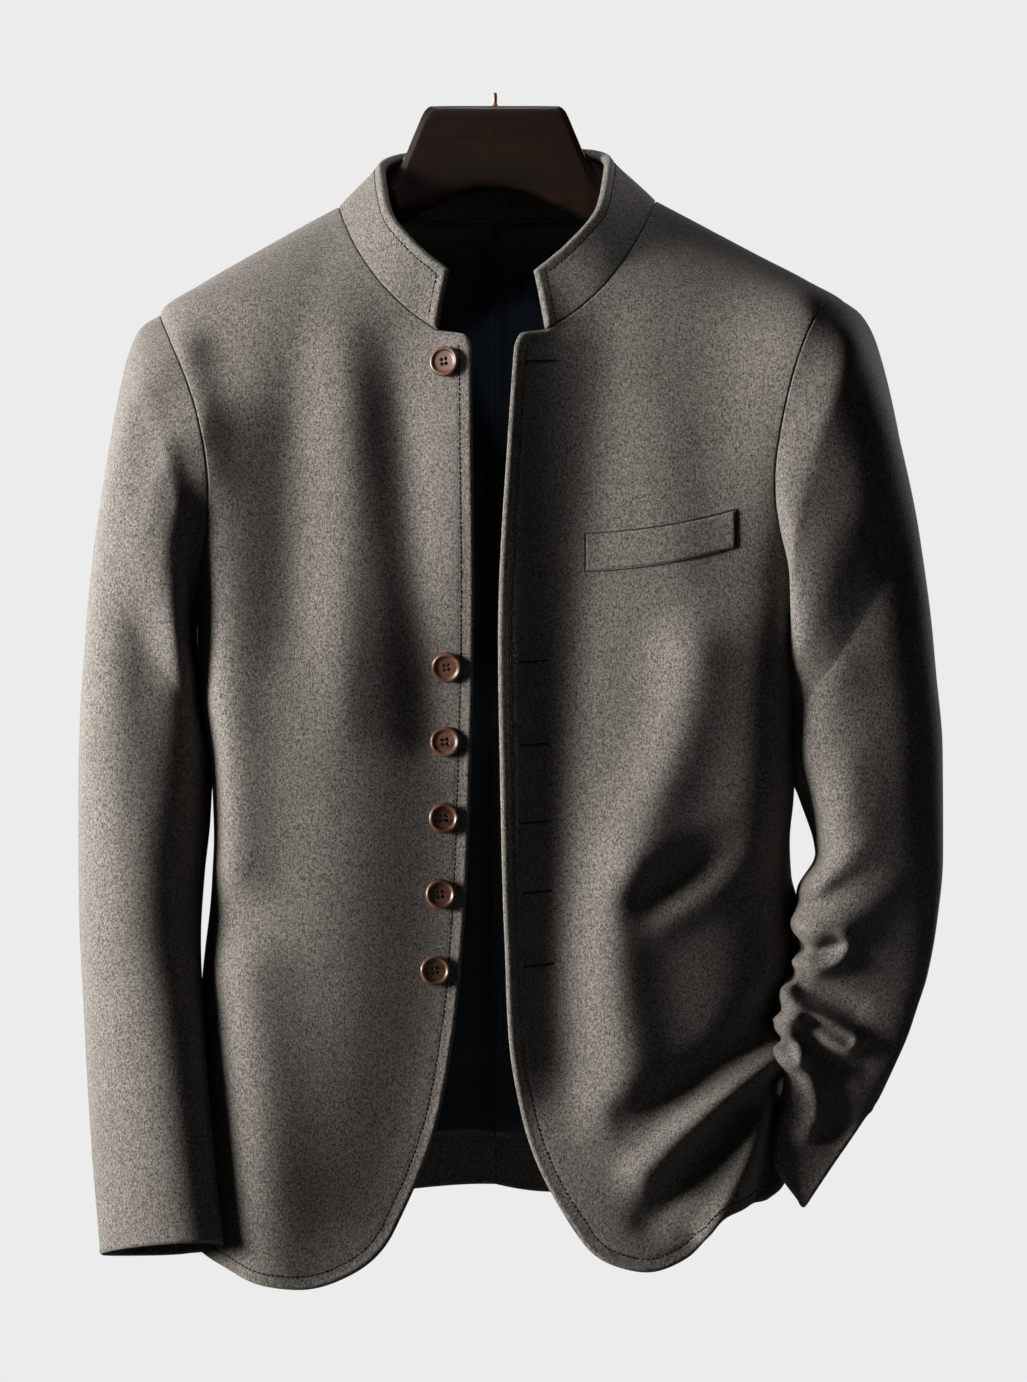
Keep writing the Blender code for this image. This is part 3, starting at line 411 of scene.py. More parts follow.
# The hook's pin from inside the wood to its top, as (radius, height).
STEM_PROFILE = (
    (2.184, -10.7), (2.184, -9.0), (1.95, -8.5), (1.45, -1.0), (1.334, -0.35), (1.015, -0.05), (0.435, 0.0),
)
STEM_RINGS = dict(along=40, points=32)

# Each piece's cut in metres: width and length laid flat, and the area of what shows.
CUTS = {
    "front_right": (0.29, 0.715, 0.145),
    "front_left": (0.30, 0.705, 0.145),
    "back_right": (0.27, 0.70, 0.157),
    "back_left": (0.28, 0.685, 0.156),
    "upper_sleeve_right": (0.27, 0.63, 0.128),
    "upper_sleeve_left": (0.27, 0.60, 0.123),
    "under_sleeve_right": (0.10, 0.475, 0.0285),
    "under_sleeve_left": (0.10, 0.45, 0.0262),
    "collar": (0.45, 0.055, 0.0214),
    "chest_welt": (0.108, 0.028, 0.003),
    "lining_right": (0.24, 0.66, 0.125),
    "lining_left": (0.25, 0.65, 0.127),
}

CAMERA = dict(x=12.45, y=-2200, z=-402.5, frame_height=930.1, sensor=36, near=0.05, far=50)
FLOOR = dict(z=-1450, radius=2150, edge=20, points=96)

Light = namedtuple("Light", "name place target size power colour spread")
Light.__doc__ = "A soft light: place and target, its sides in metres, watts, colour, and spread in degrees."
LIGHTS = (
    Light("key_light", (-2230, -650, -60), (0, 0, -440), (1.2, 1.0), 19, (1.0, 0.975, 0.95), 40),
    Light("fill_light", (1500, -2600, -200), (0, 0, -400), (2.0, 2.0), 0.11, (0.95, 0.97, 1.0), 40),
    Light("top_light", (0, -100, 1100), (0, 0, -10), (0.1, 0.1), 0.06, (1.0, 0.97, 0.92), 14),
    Light("neck_light", (-450, -900, 700), (20, 20, -110), (0.1, 0.1), 0.03, (0.86, 0.94, 1.0), 14),
    Light("back_light", (-1500, 1800, 300), (0, 0, -380), (1.2, 1.2), 6, (1.0, 0.98, 0.96), 40),
    Light("side_light", (1500, 1800, 300), (0, 0, -380), (1.2, 1.2), 3, (1.0, 0.98, 0.96), 40),
)
SHOWN_ROOM = dict(Color=(0.838, 0.838, 0.838, 1), Strength=1.0)
LIT_ROOM = dict(Color=(0.9, 0.95, 1.0, 1), Strength=0.013)


def bend(start, rise, first, last, u):
    """A cubic over a rise from a start, with the given slopes at its two ends."""
    return start + rise * u + u * (1 - u) * ((1 - u) * (first - rise) + u * (rise - last))


def along(known, values, at):
    """A smooth curve through the known values that never overshoots them."""
    known = np.asarray(known, float)
    order = np.argsort(known)
    known, values = known[order], np.asarray(values, float)[order]
    step = np.diff(known)
    slope = np.diff(values) / step
    before, after = slope[:-1], slope[1:]
    agree = before * after > 0
    inner = np.where(agree, 2 * before * after / np.where(agree, before + after, 1), 0)
    tangent = np.concatenate([slope[:1], inner, slope[-1:]])
    at = np.clip(at, known[0], known[-1])
    i = np.clip(np.searchsorted(known, at, side="right") - 1, 0, len(step) - 1)
    u = (at - known[i]) / step[i]
    return bend(values[i], values[i + 1] - values[i], step[i] * tangent[i], step[i] * tangent[i + 1], u)


def distances(line):
    """Distance of each point of a line from its start, along the line."""
    return np.concatenate([[0], np.cumsum(np.linalg.norm(np.diff(line, axis=0), axis=1))])


def through(points, share):
    """Points at the given shares of the length of a smooth curve through the given points."""
    points = np.asarray(points, float)
    place = distances(points)
    length = np.diff(place)
    tangent = np.gradient(points, place, axis=0, edge_order=2 if len(points) > 2 else 1)
    at = np.clip(np.asarray(share, float), 0, 1) * place[-1]
    i = np.clip(np.searchsorted(place, at, side="right") - 1, 0, len(length) - 1)
    span = length[i][..., None]
    u = (at - place[i])[..., None] / span
    return bend(points[i], points[i + 1] - points[i], span * tangent[i], span * tangent[i + 1], u)


def unit(vectors):
    """Vectors scaled to a length of 1."""
    return vectors / np.maximum(np.linalg.norm(vectors, axis=-1, keepdims=True), TINY["length"])


def between(place, line, at):
    """Points of a line, known at some places along it, at other places."""
    return np.stack([np.interp(at, place, line[:, k]) for k in range(3)], axis=-1)


def rim(points):
    """The closed line of points round the border of a grid."""
    return np.concatenate([points[0], points[1:, -1], points[-1, -2::-1], points[-2::-1, 0]])


def oval(angle, power):
    """Distance from the middle of a rounded square of half width 1: a circle at power 2, squarer above."""
    return (np.abs(np.cos(angle)) ** power + np.abs(np.sin(angle)) ** power) ** (-1 / power)


def resample(line, pitch):
    """Points at an even pitch along a line of points, starting half a pitch in."""
    place = distances(line)
    return between(place, line, np.arange(pitch / 2, place[-1], pitch))


def stations(length, near, far, step):
    """Places from 0 to a length: the near distances, even steps, and the far distances from the end."""
    near = np.asarray(near, float)
    far = length - np.asarray(far, float)[::-1]
    count = max(2, int(round((far[0] - near[-1]) / step)))
    return np.concatenate([near, np.linspace(near[-1], far[0], count + 1)[1:-1], far])


def grid_normals(points):
    """Unit normals of a grid: the cross product of its differences across and along."""
    return unit(np.cross(np.gradient(points, axis=1), np.gradient(points, axis=0)))


def gap_to(points, line):
    """Distance of each point to a line of points: near it the least over its straight stretches, farther
    off the distance to one in every few of its points."""
    flat = points.reshape(-1, 3)
    few = np.concatenate([line[::GAP_SKIP], line[-1:]])
    gap = np.sqrt(((flat[:, None] - few) ** 2).sum(-1).min(-1))
    step = np.diff(line, axis=0)
    close = np.flatnonzero(gap < GAP_REACH + GAP_SKIP * np.linalg.norm(step, axis=1).max())
    size = np.maximum((step ** 2).sum(-1), TINY["square"])
    for block in np.array_split(close, 1 + len(close) * len(step) // GAP_PAIRS):
        away = flat[block, None] - line[:-1]
        share = np.clip((away * step).sum(-1) / size, 0, 1)
        gap[block] = np.sqrt(((away - share[..., None] * step) ** 2).sum(-1).min(-1))
    return gap.reshape(points.shape[:-1])


def fold_height(folds, x, z):
    """Sum of folds: each a bell of the distance to its path, its height running along the path."""
    place = np.stack([x, z], axis=-1).reshape(-1, 2)
    total = np.zeros(len(place))
    for fold in folds:
        count = FOLD_STEPS * len(fold.path)
        line = through(fold.path, np.linspace(0, 1, count + 1))
        reach = FOLD_REACH * fold.width
        inside = (place > line.min(axis=0) - reach) & (place < line.max(axis=0) + reach)
        near = np.flatnonzero(inside.all(axis=1))
        step = np.diff(line, axis=0)
        away = place[near, None] - line[:-1]
        share = np.clip((away * step).sum(-1) / (step ** 2).sum(-1), 0, 1)
        gap = np.linalg.norm(away - share[..., None] * step, axis=-1)
        closest = gap.argmin(-1)[:, None]
        run = (closest + np.take_along_axis(share, closest, -1))[:, 0] / count
        height = fold.first + (fold.last - fold.first) * run
        for stretch, end in ((fold.ease, run), (fold.fade, 1 - run)):
            rise = np.clip(end / stretch, 0, 1) if stretch else 1
            height = height * rise * rise * (3 - 2 * rise)
        total[near] += height * np.exp(-(np.take_along_axis(gap, closest, -1)[:, 0] / fold.width) ** 2)
    return total.reshape(np.shape(x))


def half_width(side, z):
    """Half width of the torso on one side at a height."""
    return along(TORSO["z"], TORSO["right" if side == RIGHT else "left"], z)


def depth_and_square(side, z):
    """Depth and squareness of the torso's front on one side and of its back at a height."""
    word = "right" if side == RIGHT else "left"
    names = ("front_" + word, "square_" + word), ("back", "square_back")
    return [[along(TORSO["z"], TORSO[name], z) for name in pair] for pair in names]


def torso_form(side, turn, z):
    """The plain torso at a turn and a height: a rounded oval of the section at that height."""
    width = half_width(side, z)
    front, back = depth_and_square(side, z)
    ahead = turn < QUARTER
    depth, square = np.where(ahead, front[0], back[0]), np.where(ahead, front[1], back[1])
    across = np.clip(np.sin(turn), 0, 1)
    reach = ((across / width) ** square + (np.abs(np.cos(turn)) / depth) ** square) ** (-1 / square)
    return np.stack([side * reach * across, -reach * np.cos(turn), z + 0 * reach], axis=-1)


def turn_at(side, x, z, behind=False):
    """The turn at which the torso form has the given x, on the front or behind."""
    depth, square = depth_and_square(side, z)[behind]
    share = np.clip(np.abs(x) / half_width(side, z), 0, 1)
    turn = np.arctan2(np.abs(x), depth * (1 - share ** square) ** (1 / square))
    return math.pi - turn if behind else turn


def form_normals(form, u, v, u_step, v_step):
    """Unit normals of a form of two parameters: the cross product of its central differences."""
    across = form(u + u_step, v) - form(u - u_step, v)
    up = form(u, v + v_step) - form(u, v - v_step)
    return unit(np.cross(across, up))


def torso_surface(side, behind, turn, z):
    """The torso with the folds of a front or of the back, raised straight ahead or straight back."""
    point = torso_form(side, turn, z)
    keep = np.clip(np.abs(np.cos(turn)) * SEAM_FADE, 0, 1)
    folds = BACK_FOLDS if behind else FRONT_FOLDS[side]
    height = keep * fold_height(folds, point[..., 0], z)
    return point + height[..., None] * (-AHEAD if behind else AHEAD)


def torso_out(side, behind, turn, z):
    """Outward directions of the folded torso."""
    return side * form_normals(lambda a, b: torso_surface(side, behind, a, b), turn, z, *NORMAL_STEP)


def armhole(side, angle):
    """Turn and height round the armhole: 0 at the shoulder, a half turn at the armpit, front half first."""
    seam = SEAMS[side]
    share = (1 + np.cos(angle)) / 2
    z = seam["armpit"] + (seam["shoulder"] - seam["armpit"]) * share
    low, high = half_width(side, seam["armpit"]), half_width(side, seam["shoulder"])
    ahead = np.sin(angle) >= 0
    cut = np.where(ahead, seam["cut_in_front"], seam["cut_in_back"])
    bow = np.where(np.cos(angle) > 0, seam["bow_up"], seam["bow_low"])
    x = low + (high - low) * share - cut * np.abs(np.sin(angle)) ** bow
    return np.where(ahead, turn_at(side, x, z), turn_at(side, x, z, True)), z


def armhole_out(side, angle):
    """The direction out of the armhole: within its plane, and halfway to the side at the armpit."""
    seam = SEAMS[side]
    low, high = half_width(side, seam["armpit"]), half_width(side, seam["shoulder"])
    rise = np.array([side * (high - low), 0, seam["shoulder"] - seam["armpit"]])
    tall = np.linalg.norm(rise) / 2
    deep = SLEEVE[side]["front"][0]
    up = np.cos(angle)[..., None] / tall * unit(rise)
    aside = np.clip(-np.cos(angle), 0, 1)[..., None] ** 2 * ARMPIT_LEAN / tall * np.array([side, 0, 0])
    return unit(up + aside + np.sin(angle)[..., None] / deep * AHEAD)


def neckline(side, station):
    """Turn and height of the neckline at stations 0, the collar end, to 1, the shoulder, to 2, the back."""
    edge = half_width(side, SEAMS[side]["neck"])
    corner = ((edge, SEAMS[side]["neck"]),)
    front = through(FRONT_NECK[side] + corner, station)
    back = through(corner + BACK_NECK + ((0, CENTRE_NECK),), station - 1)
    ahead = station <= 1
    front_turn = turn_at(side, front[..., 0], front[..., 1])
    back_turn = turn_at(side, back[..., 0], back[..., 1], True)
    return np.where(ahead, front_turn, back_turn), np.where(ahead, front[..., 1], back[..., 1])


def neck_out(points, station):
    """The direction out of the neckline: away from the middle of the neck, lifted most at the shoulder."""
    lift = np.interp(station, (0, 1, 2), NECK_LIFT)
    return unit(unit(points * LEVEL) + lift[..., None] * UP)


def row_share(side, points, row, last_row):
    """Share of an inner boundary at a row: the armpit's row lies a dip below the armpit."""
    share = np.linspace(0, 1, CURVE_SAMPLES)
    level = np.interp(SEAMS[side]["armpit"] - ARMPIT_DIP, through(points, share)[:, 1], share)
    return np.interp(row, (0, ARMPIT_ROW, last_row), (0, level, 1))


def front_inner(side, row):
    """Turn and height of a front's inner boundary: front edge, top step with a soft corner, neckline."""
    soft = CORNER["soft"] * np.exp(-((row - EDGE_ROW) / CORNER["reach"]) ** 2)
    at = row + np.linspace(-1, 1, CORNER["samples"])[:, None] * soft
    edge = through(FRONT_EDGE[side], row_share(side, FRONT_EDGE[side], at, EDGE_ROW))
    collar_end = np.array(FRONT_NECK[side][0]) * np.array([side, 1])
    free = (edge + (collar_end - edge) * np.clip(at - EDGE_ROW, 0, 1)[..., None]).mean(axis=0)
    station = np.sin(np.clip((row - COLLAR_ROW) / (SHOULDER_ROW - COLLAR_ROW), 0, 1) * QUARTER)
    neck_turn, neck_z = neckline(side, station)
    seam = row >= COLLAR_ROW
    turn = np.where(seam, neck_turn, turn_at(side, free[..., 0], free[..., 1]))
    return turn, np.where(seam, neck_z, free[..., 1]), station


def back_inner(side, row):
    """Turn and height of a back's inner boundary: centre back seam, then the neckline to the shoulder."""
    centre = ((0, CENTRE_HEM), (0, CENTRE_NECK))
    middle = through(centre, row_share(side, centre, row, BACK_NECK_ROW))[..., 1]
    station = 2 - np.cos(np.clip((SHOULDER_ROW - row) / (SHOULDER_ROW - BACK_NECK_ROW), 0, 1) * QUARTER)
    neck_turn, neck_z = neckline(side, station)
    seam = row >= BACK_NECK_ROW
    return np.where(seam, neck_turn, math.pi), np.where(seam, neck_z, middle), station


def side_and_armhole(side, behind, row):
    """Turn and height of a panel's outer boundary: up the side seam, then round half the armhole."""
    seam = SEAMS[side]
    side_z = seam["side_hem"] + (seam["armpit"] - seam["side_hem"]) * np.clip(row / ARMPIT_ROW, 0, 1)
    share = np.clip((row - ARMPIT_ROW) / (SHOULDER_ROW - ARMPIT_ROW), 0, 1)
    fine = math.pi * np.linspace(0, 1, ARMHOLE_SAMPLES) ** ARMHOLE_PACK
    fine = 2 * math.pi - fine if behind else fine
    run = distances(torso_form(side, *armhole(side, fine)))
    angle = np.interp((1 - share) * run[-1], run, fine)
    arm_turn, arm_z = armhole(side, angle)
    low = (row <= ARMPIT_ROW) | (row >= SHOULDER_ROW)
    return np.where(low, QUARTER, arm_turn), np.where(row <= ARMPIT_ROW, side_z, arm_z), angle


def panel_place(side, behind, across, row):
    """Turn and height over a panel: the straight mix of its two boundaries, bent to follow the hem."""
    inner_turn, inner_z, station = back_inner(side, row) if behind else front_inner(side, row)
    outer_turn, outer_z, angle = side_and_armhole(side, behind, row)
    hem_points = np.array((BACK_HEM if behind else FRONT_HEM)[side], float)
    hem_turn = turn_at(side, hem_points[:, 0], hem_points[:, 1], behind)
    first = [(math.pi, CENTRE_HEM)] if behind else []
    controls = np.array(first + list(zip(hem_turn, hem_points[:, 1])) + [(QUARTER, SEAMS[side]["side_hem"])])
    scale = np.array([TURN_REACH, 1])
    hem = through(controls * scale, across) / scale
    straight = controls[0] + (controls[-1] - controls[0]) * across[..., None]
    inner = np.stack([inner_turn, inner_z], axis=-1)[:, None]
    outer = np.stack([outer_turn, outer_z], axis=-1)[:, None]
    s = across[None, :, None]
    fade = (1 - row / SHOULDER_ROW)[:, None, None]
    place = (1 - s) * inner + s * outer + fade * (hem - straight)[None]
    return place[..., 0], place[..., 1], station, angle


def rounded(gap, radius):
    """Rises from 0 at an edge to 1 at the radius, as a quarter circle does."""
    x = np.clip(gap / radius, 0, 1)
    return np.sqrt(1 - (1 - x) ** 2)


def half_wall(free, seam, inset=STITCH_INSET):
    """Half thickness of sewn cloth: round at each edge, with a bead and a sunk stitch line by a free one."""
    bead = EDGE_BEAD["height"] * np.exp(-((free - EDGE_BEAD["place"]) / EDGE_BEAD["width"]) ** 2)
    sink = STITCH_SINK["depth"] * np.exp(-((free - inset) / STITCH_SINK["width"]) ** 2)
    return (CLOTH / 2 + bead - sink) * rounded(free, EDGE_ROUND) * rounded(seam, SEAM_ROUND)


def lean_to(out, gap, seam_out):
    """Directions turned towards a seam's own direction, less with the distance to the seam."""
    keep = np.exp(-(gap / SEAM_LEAN) ** 2)[..., None]
    return unit(out * (1 - keep) + seam_out * keep)


class Cloth:
    """A piece of cloth as a grid: its outer points, inner points and outward directions."""

    def __init__(self, middle, out, half):
        """Outer and inner points half a thickness to either side of the middle ones."""
        self.out = out
        self.outer = middle + half[..., None] * out
        self.inner = middle - half[..., None] * out

    def edge(self, border, border_out, border_in):
        """The line of its free border, with the directions out of the cloth and into the piece there."""
        self.border, self.border_out, self.border_in = border, border_out, border_in


def panel_grid(behind):
    """Shares across a panel and row numbers up it, closest at its edges, with a row at each corner."""
    step = BACK_STEP if behind else PANEL_STEP
    across = stations(PANEL_WIDTH, SEAM_NEAR if behind else FREE_NEAR, SEAM_NEAR, step) / PANEL_WIDTH
    hem_rows = np.array(FREE_NEAR) / ROW_LENGTH
    top_rows = SHOULDER_ROW - np.array(SEAM_NEAR)[::-1] / SHOULDER_ROW_LENGTH
    count = int((top_rows[0] - hem_rows[-1]) * ROW_LENGTH / step)
    exact = (ARMPIT_ROW, EDGE_ROW, COLLAR_ROW)
    row = np.concatenate([hem_rows, np.linspace(hem_rows[-1], top_rows[0], count)[1:-1], top_rows])
    apart = np.abs(row[:, None] - exact).min(axis=1) > ROW_APART
    return across, np.sort(np.concatenate([row[apart], exact]))


def panel(side, behind):
    """A front or a back half: the torso form over the panel's place, made a wall."""
    across, row = panel_grid(behind)
    turn, z, station, angle = panel_place(side, behind, across, row)
    points = torso_surface(side, behind, turn, z)
    out = torso_out(side, behind, turn, z)
    in_seam = row >= (BACK_NECK_ROW if behind else COLLAR_ROW)
    edge_line = points[row <= row[in_seam][0], 0]
    lines = points[0], points[:, -1], points[-1], points[in_seam, 0], edge_line
    hem_gap, side_gap, shoulder_gap, neck_gap, edge_gap = (gap_to(points, line) for line in lines)
    run = np.gradient(points[-1], axis=0)
    ridge_out = side * unit(np.stack([-run[:, 2], 0 * run[:, 0], run[:, 0]], axis=-1))
    aside = np.where((row <= ARMPIT_ROW)[:, None], np.array([side, 0, 0]), armhole_out(side, angle))
    if behind:
        out = lean_to(out, edge_gap, unit(out[:, 0] * NO_X)[:, None])
    out = lean_to(out, neck_gap, neck_out(points[:, 0], station)[:, None])
    out = lean_to(out, side_gap, aside[:, None])
    out = lean_to(out, shoulder_gap, ridge_out[None])
    seam = np.minimum(np.minimum(side_gap, shoulder_gap), neck_gap)
    if behind:
        half = half_wall(hem_gap, np.minimum(seam, edge_gap), NO_STITCH)
    else:
        half = half_wall(np.minimum(hem_gap, edge_gap), seam)
    cloth = Cloth(points - CLOTH / 2 * out, out, half)
    free = row <= EDGE_ROW
    border, border_out = (np.concatenate([grid[free, 0][::-1], grid[0, 1:]]) for grid in (points, out))
    from_edge = (points[:, INSIDE] - points[:, 0])[free][::-1]
    from_hem = (points[INSIDE] - points[0])[1:]
    cloth.edge(border, border_out, np.concatenate([from_edge, from_hem]))
    return cloth


def sleeve_places(side):
    """Shares of a sleeve's length at its rings, by the mean of its outer and inner line."""
    rings = SLEEVE[side]
    step = sum(np.hypot(np.diff(rings[line + "_x"]), np.diff(rings[line + "_z"]))
               for line in ("outer", "inner"))
    return np.concatenate([[0], np.cumsum(step)]) / step.sum()


def sleeve_plain(side, angle, v):
    """A sleeve without folds at an angle round it and a share of its length: rings between its outer
    and inner line, leaning by their tilt, eased into the armhole over the cap."""
    rings, place = SLEEVE[side], sleeve_places(side)

    def ring(angle, v):
        """A rounded square between the outer and the inner point, of its own depth ahead and behind."""
        size = {name: along(place, values, v) for name, values in rings.items()}
        reach = oval(angle, size["square"])
        across = reach * np.cos(angle)
        share = (1 + across) / 2
        ahead = np.sin(angle) >= 0
        deep = np.where(ahead, size["front"], size["back"])
        lean = np.where(ahead, -size["tilt"], size["slant"] / SLANT_THIN)
        bow = reach * np.sin(angle) * (1 + lean * across)
        x = size["inner_x"] + (size["outer_x"] - size["inner_x"]) * share
        z = size["inner_z"] + (size["outer_z"] - size["inner_z"]) * share - size["drop"] * np.sin(angle)
        return np.stack([x, size["middle_y"] + size["slant"] * across - deep * bow, z], axis=-1)

    turn, z = armhole(side, angle)
    ahead, back = torso_surface(side, False, turn, z), torso_surface(side, True, turn, z)
    seam = np.where(np.sin(angle)[..., None] >= 0, ahead, back)
    keep = np.clip(1 - v / CAP_LENGTH, 0, 1) ** CAP_EASE
    return ring(angle, v) + keep[..., None] * (seam - ring(angle, 0 * v[:1]))


def sleeve_form(side, angle, v):
    """A sleeve with its folds raised along its plain normals turned a little ahead, on its front half."""
    point = sleeve_plain(side, angle, v)
    out = form_normals(lambda a, b: sleeve_plain(side, a, b), angle, v, *SLEEVE_NORMAL_STEP)
    out = out * np.sign((out * (point - sleeve_axis(side, v))).sum())
    free = np.clip(FOLD_EDGE + np.sin(angle) * SLEEVE_FADE, 0, 1) * np.clip(v / FOLD_FREE, 0, 1)
    height = fold_height(SLEEVE_FOLDS[side], point[..., 0], point[..., 2])
    lift = unit(out + FOLD_AHEAD * np.clip(np.sin(angle), 0, 1)[..., None] * AHEAD)
    return point + lift * (free * height)[..., None]


def sleeve_rows(side):
    """Shares of a sleeve's length at its rows: closest at the armhole, the bunched part and the cuff."""
    known, steps = np.array(SLEEVE_STEP[side], float).T
    length = SLEEVE_LENGTH[side]
    fine = np.linspace(0, length, SLEEVE_SAMPLES)
    count = np.cumsum((fine[1] - fine[0]) / np.interp(fine, known, steps))
    ticks = np.interp(np.arange(int(count[-1])), count, fine)
    near, far = np.array(SEAM_NEAR), length - np.array(FREE_NEAR)[::-1]
    middle = ticks[(ticks > near[-1] + 1) & (ticks < far[0] - 1)]
    return np.concatenate([near, middle, far]) / length


def sleeve(side):
    """The two pieces of a sleeve, cut from one form at its lengthwise seams."""
    v = sleeve_rows(side)
    whole = 2 * math.pi / AROUND
    pieces = {}
    spans = ("upper", UNDER_LAST, AROUND + UNDER_FIRST), ("under", UNDER_FIRST, UNDER_LAST)
    for word, first, last in spans:
        arc = RING_LENGTH * (last - first) / AROUND
        share = stations(arc, SEAM_NEAR, SEAM_NEAR, RING_STEP[side]) / arc
        angle = whole * (first + (last - first) * share)[None, :]
        points = sleeve_form(side, angle, v[:, None])
        out = form_normals(lambda a, b: sleeve_form(side, a, b), angle, v[:, None], *SLEEVE_NORMAL_STEP)
        axis = sleeve_axis(side, v[:, None])
        out = out * np.sign((out * (points - axis)).sum())
        arm_gap = gap_to(points, points[0])
        out = lean_to(out, arm_gap, armhole_out(side, angle))
        first_gap, last_gap = gap_to(points, points[:, 0]), gap_to(points, points[:, -1])
        for gap, column in ((first_gap, 0), (last_gap, -1)):
            out = lean_to(out, gap, unit(points[:, column] - axis[:, 0])[:, None])
        seam = np.minimum(arm_gap, np.minimum(first_gap, last_gap))
        half = half_wall(gap_to(points, points[-1]), seam, NO_STITCH)
        pieces[word] = Cloth(points - CLOTH / 2 * out, out, half)
    return pieces


def sleeve_axis(side, v):
    """The middle line of a sleeve at shares of its length."""
    rings, place = SLEEVE[side], sleeve_places(side)
    x = along(place, (rings["outer_x"] + rings["inner_x"]) / 2, v)
    z = along(place, (rings["outer_z"] + rings["inner_z"]) / 2, v)
    return np.stack([x, along(place, rings["middle_y"], v), z], axis=-1)


def collar():
    """The stand collar: straight lines from the neckline to the top edge, swollen to a roll at its edges."""
    station = np.concatenate([COLLAR_ENDS, np.linspace(*COLLAR_RUN)])
    parts = []
    for side in (RIGHT, LEFT):
        turn, z = neckline(side, station)
        ahead, behind = (torso_surface(side, back, turn, z) for back in (False, True))
        base = np.where((station <= 1)[:, None], ahead, behind)
        edge = {name: along(COLLAR_TOP["station"], values, station) for name, values in COLLAR_TOP.items()}
        on_left = side == LEFT
        x, z = edge["x"] - on_left * edge["left_in"], edge["z"] + on_left * edge["left_up"]
        top = np.stack([side * x, edge["y"], z], axis=-1)
        order = slice(-2, None, -1) if on_left else slice(None)
        parts.append([line[order] for line in (base, top, neck_out(base, station))])
    base, top, seam_out = (np.concatenate(lines) for lines in zip(*parts))
    share = stations(COLLAR_HEIGHT, SEAM_NEAR, FREE_NEAR, COLLAR_STEP)[:, None, None] / COLLAR_HEIGHT
    points = base + (top - base) * share + COLLAR_BULGE * 4 * share * (1 - share) * seam_out
    out = grid_normals(points)
    out = out * np.sign((out * points * LEVEL).sum())
    seam_gap = gap_to(points, points[0])
    out = lean_to(out, seam_gap, seam_out[None])
    border, border_out = (np.concatenate([grid[:, 0], grid[-1, 1:], grid[::-1, -1]])
                          for grid in (points, out))
    free = gap_to(points, border)
    half = half_wall(free, seam_gap, COLLAR_STITCH_INSET)
    swell = (COLLAR_EDGE_HALF - CLOTH / 2) * np.exp(-(free / COLLAR_SWELL["reach"]) ** 2)
    swell = swell * rounded(seam_gap, COLLAR_SWELL["seam"])
    half = half + swell * rounded(free, COLLAR_EDGE_HALF + 1)
    cloth = Cloth(points - CLOTH / 2 * out, out, half)
    far = -1 - INSIDE
    from_ends = points[:, INSIDE] - points[:, 0], (points[:, far] - points[:, -1])[::-1]
    from_top = (points[far] - points[-1])[1:]
    cloth.edge(border, border_out, np.concatenate([from_ends[0], from_top, from_ends[1]]))
    return cloth


def welt():
    """The chest welt: a band of the left front between two slanted lines, raised and rounded at its rim."""
    def tucked(length, step):
        """Shares of a length, those near its ends pulled in under the rounded rim."""
        place = stations(length, WELT_NEAR, WELT_NEAR, step)
        pull = [1 - rounded(gap, WELT_TUCK["reach"]) for gap in (place, length - place)]
        return (place + WELT_TUCK["depth"] * (pull[0] - pull[1])) / length

    s = tucked(WELT_GRID["width"], WELT_GRID["across"])[None, :]
    t = tucked(WELT_GRID["height"], WELT_GRID["up"])[:, None]
    x, top, bottom = (WELT_INNER[name] + (WELT_OUTER[name] - WELT_INNER[name]) * s for name in WELT_INNER)
    x = x + 0 * t
    z = bottom + (top - bottom) * t - WELT_SAG * 4 * s * (1 - s)
    turn = turn_at(LEFT, x, z)
    points = torso_surface(LEFT, False, turn, z)
    out = torso_out(LEFT, False, turn, z)
    cloth = Cloth(points, out, WELT_RISE * rounded(gap_to(points, rim(points)), WELT_ROUND))
    cloth.inner = points - WELT_BACK * out
    return cloth


def lining(side):
    """Half of the back lining: the back's own form moved in, with a centre pleat and soft folds."""
    across = stations(PANEL_WIDTH, LINING_NEAR, LINING_NEAR, LINING_STEP) / PANEL_WIDTH * LINING_REACH
    row = np.concatenate([np.linspace(LINING_FIRST_ROW, BACK_NECK_ROW, LINING_ROWS["back"]),
                          np.linspace(BACK_NECK_ROW, LINING_LAST_ROW, LINING_ROWS["neck"])[1:]])
    turn, z = panel_place(side, True, across, row)[:2]
    points = torso_surface(side, True, turn, z)
    out = torso_out(side, True, turn, z)
    out[:, 0] = unit(out[:, 0] * NO_X)
    x = points[..., 0]
    hang = np.clip((PLEAT["top"] - z) / PLEAT["fade"], 0, 1)
    pleat = PLEAT["height"] * np.exp(-(x / PLEAT["width"]) ** 2)
    inward = CLOTH + LINING_GAP + hang * (pleat + np.abs(fold_height(LINING_FOLDS, x, z)))
    neck_gap = gap_to(points, points[row >= BACK_NECK_ROW, 0])
    inward = inward - LINING_TUCK["depth"] * np.exp(-(neck_gap / LINING_TUCK["reach"]) ** 2)
    border = np.concatenate([points[0], points[1:, -1], points[-1, -2::-1]])
    half = LINING_WALL / 2 * rounded(gap_to(points, border), LINING_ROUND)
    half[:, [0, -1]] = 0
    return Cloth(points - (inward + LINING_WALL / 2)[..., None] * out, out, half)


